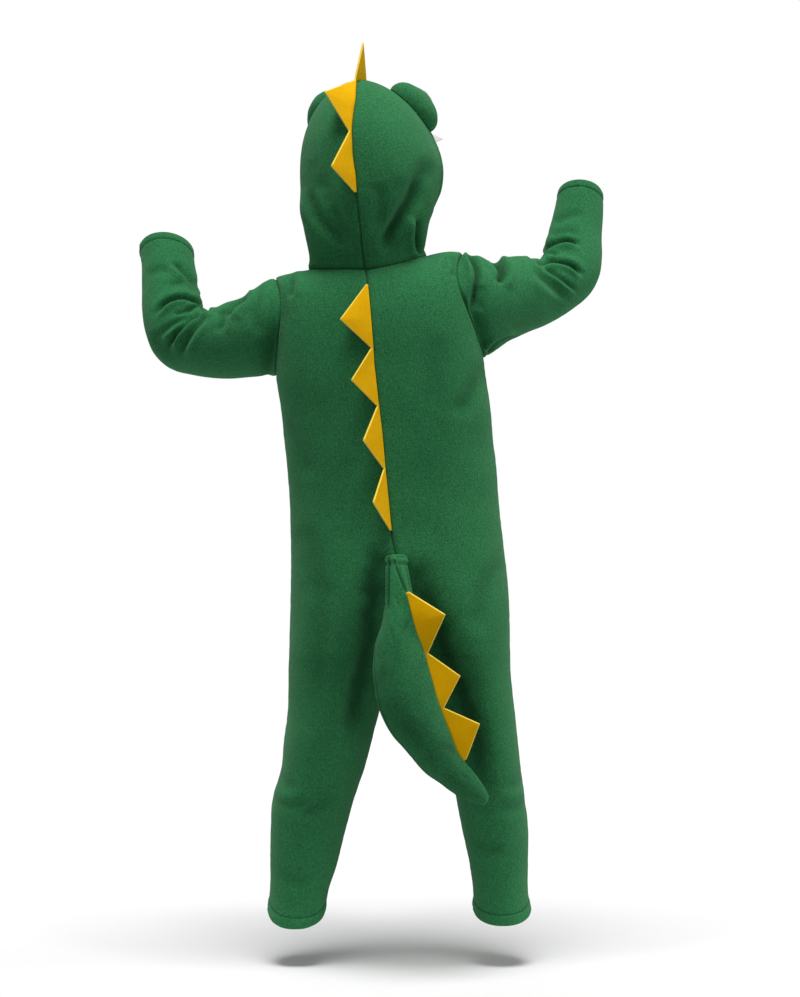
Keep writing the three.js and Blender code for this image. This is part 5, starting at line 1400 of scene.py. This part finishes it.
for side in ("left", "right"):
    s = 1.0 if side == "left" else -1.0

    def pad_skin(u, v, s=s, side=side):
        p, n = pad_point(s, u, v, 1)
        d = np.hypot(u, v)
        ang = np.arctan2(v, u)
        gather = 0.55 * np.sin(ang * 23 + 2.0 * np.sin(ang * 3)) * d**8 + 0.7 * noise(p / 17.0) + 0.3 * noise(p / 7.0)
        return p + n * (gather * (1 - d**12))[..., None]

    radii = np.sin(np.linspace(0, np.pi / 2, 26)[1:])
    disc("eye_pad_%s_stuffed" % side, radii, 96, pad_skin, lambda u, v, s=s: pad_point(s, u, v, 0)[0], [FLEECE])

    def eye(r, lift, s=s):
        def at(u, v):
            a, b = 0.54 + r * u * 0.95, -0.2 + r * v
            p = pad_point(s, a, b, 1)[0]
            return p + pad_normal(s, a, b) * (lift + 0.12 * noise(p / 6.0))[..., None]
        return at

    for what, r, low_, high_, mat, thread in (("white", 0.36, 0.8, 2.4, WHITE_FELT, PALE_THREAD), ("pupil", 0.17, 3.0, 4.4, BLACK_FELT, PALE_THREAD)):
        radii = np.array([0.12, 0.25, 0.38, 0.5, 0.62, 0.73, 0.83, 0.91, 0.965])
        q = 2 * np.pi * np.arange(60) / 60
        c, d = np.cos(q), np.sin(q)
        rim = [eye(r, high_ - 0.12)(c * 0.992, d * 0.992), eye(r, high_ - 0.5)(c * 1.003, d * 1.003), eye(r, low_ + 0.4)(c * 1.003, d * 1.003)]
        disc("eye_%s_%s_felt" % (what, side), radii, 60, eye(r, high_), eye(r, low_), [mat], rim)
        ring = eye(r, high_)(c * 0.87, d * 0.87)
        outd = pad_normal(s, 0.54 + r * c * 0.87 * 0.95, -0.2 + r * d * 0.87)
        if what == "white":
            stitches("eye_stitches_%s" % side, ring, outd, thread, 2.0, 1.2, 0.45, True)


# ---------- stitch lines ----------
def level_line(name, at):
    """The displaced cloth at this distance from its lower edge."""
    b = built[name]
    pts_, outs_ = [], []
    for j in range(b["outer"].shape[1]):
        key = b["from_end"][::-1, j]
        pts_.append([np.interp(at, key, b["outer"][::-1, j, c]) for c in range(3)])
        outs_.append([np.interp(at, key, b["n"][::-1, j, c]) for c in range(3)])
    return np.array(pts_), unit(np.array(outs_))


for side in ("left", "right"):
    p, o = level_line("sleeve_" + side, 11.0)
    stitches("cuff_stitches_" + side, p, o, GREEN_THREAD, 2.6, 0.9, 0.5, True)
    (pb, ob_), (pf, of_) = level_line("back_" + side, 13.0), level_line("front_" + side, 13.0)
    stitches("hem_stitches_" + side, np.concatenate([pb, pf[::-1][1:-1]]), np.concatenate([ob_, of_[::-1][1:-1]]), GREEN_THREAD, 2.6, 0.9, 0.5, True)
for k, col in ((0, 3), (1, len(offs) - 4)):
    stitches("placket_stitches_%d" % k, placket_outer[:, col], dirs[:, col], GREEN_THREAD, 2.6, 0.9, 0.5)


# ---------- hiding the part's pieces that the made pieces stand in for ---
def replace(piece, slot, *nodes):
    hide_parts(*nodes)


for name in grids:
    replace(name + "_cloth", "fleece", name)
replace("hood_band_cloth", "fleece", "hood_band")
replace("front_placket_cloth", "fleece", "front_placket")
replace("teeth_felt", "white_felt", "teeth")
for name in ("hood_crest", "back_crest", "tail_crest"):
    replace(name + "_felt", "spike_felt", name)
replace("tail_stuffed", "fleece", "tail_left", "tail_right", "tail_under")
for side in ("left", "right"):
    replace("eye_pad_%s_stuffed" % side, "fleece", "eye_pad_" + side)
    replace("eye_white_%s_felt" % side, "white_felt", "eye_white_" + side)
    replace("eye_pupil_%s_felt" % side, "black_felt", "eye_pupil_" + side)

for side in ("left", "right"):
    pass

# ---------- camera, light and floor ----------
from mathutils import Vector

cam = bpy.data.objects.new("camera", bpy.data.cameras.new("camera"))
bpy.context.scene.collection.objects.link(cam)
cam.data.lens, cam.data.sensor_width, cam.data.sensor_fit = 100.0, 36.0, "AUTO"
cam.data.clip_end = 100.0
cam.location = (-0.0426, 3.683, -0.3066)
cam.rotation_euler = (math.pi / 2, 0.0, math.pi)
bpy.context.scene.camera = cam


def sun(name, place, energy, angle, colour=(1, 1, 1)):
    light = bpy.data.lights.new(name, "SUN")
    light.energy, light.angle, light.color = energy, math.radians(angle), colour
    ob = bpy.data.objects.new(name, light)
    bpy.context.scene.collection.objects.link(ob)
    ob.rotation_euler = Vector(place).to_track_quat("Z", "Y").to_euler()


sun("key", (0.02, 0.23, 1.0), 3.2, 30)
sun("side", (-1.0, 0.1, 0.3), 1.0, 30)
sun("fill", (0.25, 1.0, 0.1), 0.28, 50)
sun("front", (0.3, -1.0, 0.6), 0.6, 60)

bpy.context.scene.view_settings.view_transform = "Standard"
world = bpy.data.worlds.new("studio")
bpy.context.scene.world = world
world.use_nodes = True
wt = world.node_tree
bg = wt.nodes["Background"]
bg.inputs["Color"].default_value = (1, 1, 1, 1)
bg.inputs["Strength"].default_value = 0.17
seen = wt.nodes.new("ShaderNodeBackground")
seen.inputs["Color"].default_value = (1, 1, 1, 1)
seen.inputs["Strength"].default_value = 1.0
path_ = wt.nodes.new("ShaderNodeLightPath")
both = wt.nodes.new("ShaderNodeMixShader")
wt.links.new(path_.outputs["Is Camera Ray"], both.inputs["Fac"])
wt.links.new(bg.outputs[0], both.inputs[1])
wt.links.new(seen.outputs[0], both.inputs[2])
wt.links.new(both.outputs[0], wt.nodes["World Output"].inputs["Surface"])

floor_mat = bpy.data.materials.new("floor")
floor_mat.use_nodes = True
fb = floor_mat.node_tree.nodes["Principled BSDF"].inputs
fb["Base Color"].default_value = (0.76, 0.76, 0.76, 1)
fb["Roughness"].default_value = 1.0
fb["Specular IOR Level"].default_value = 0.0
fm = bpy.data.meshes.new("floor")
fm.from_pydata([(-8, -8, -0.924), (8, -8, -0.924), (8, 0.27, -0.924), (-8, 0.27, -0.924)], [], [(0, 1, 2, 3)])
fm.materials.append(floor_mat)
floor = bpy.data.objects.new("floor", fm)
bpy.context.scene.collection.objects.link(floor)
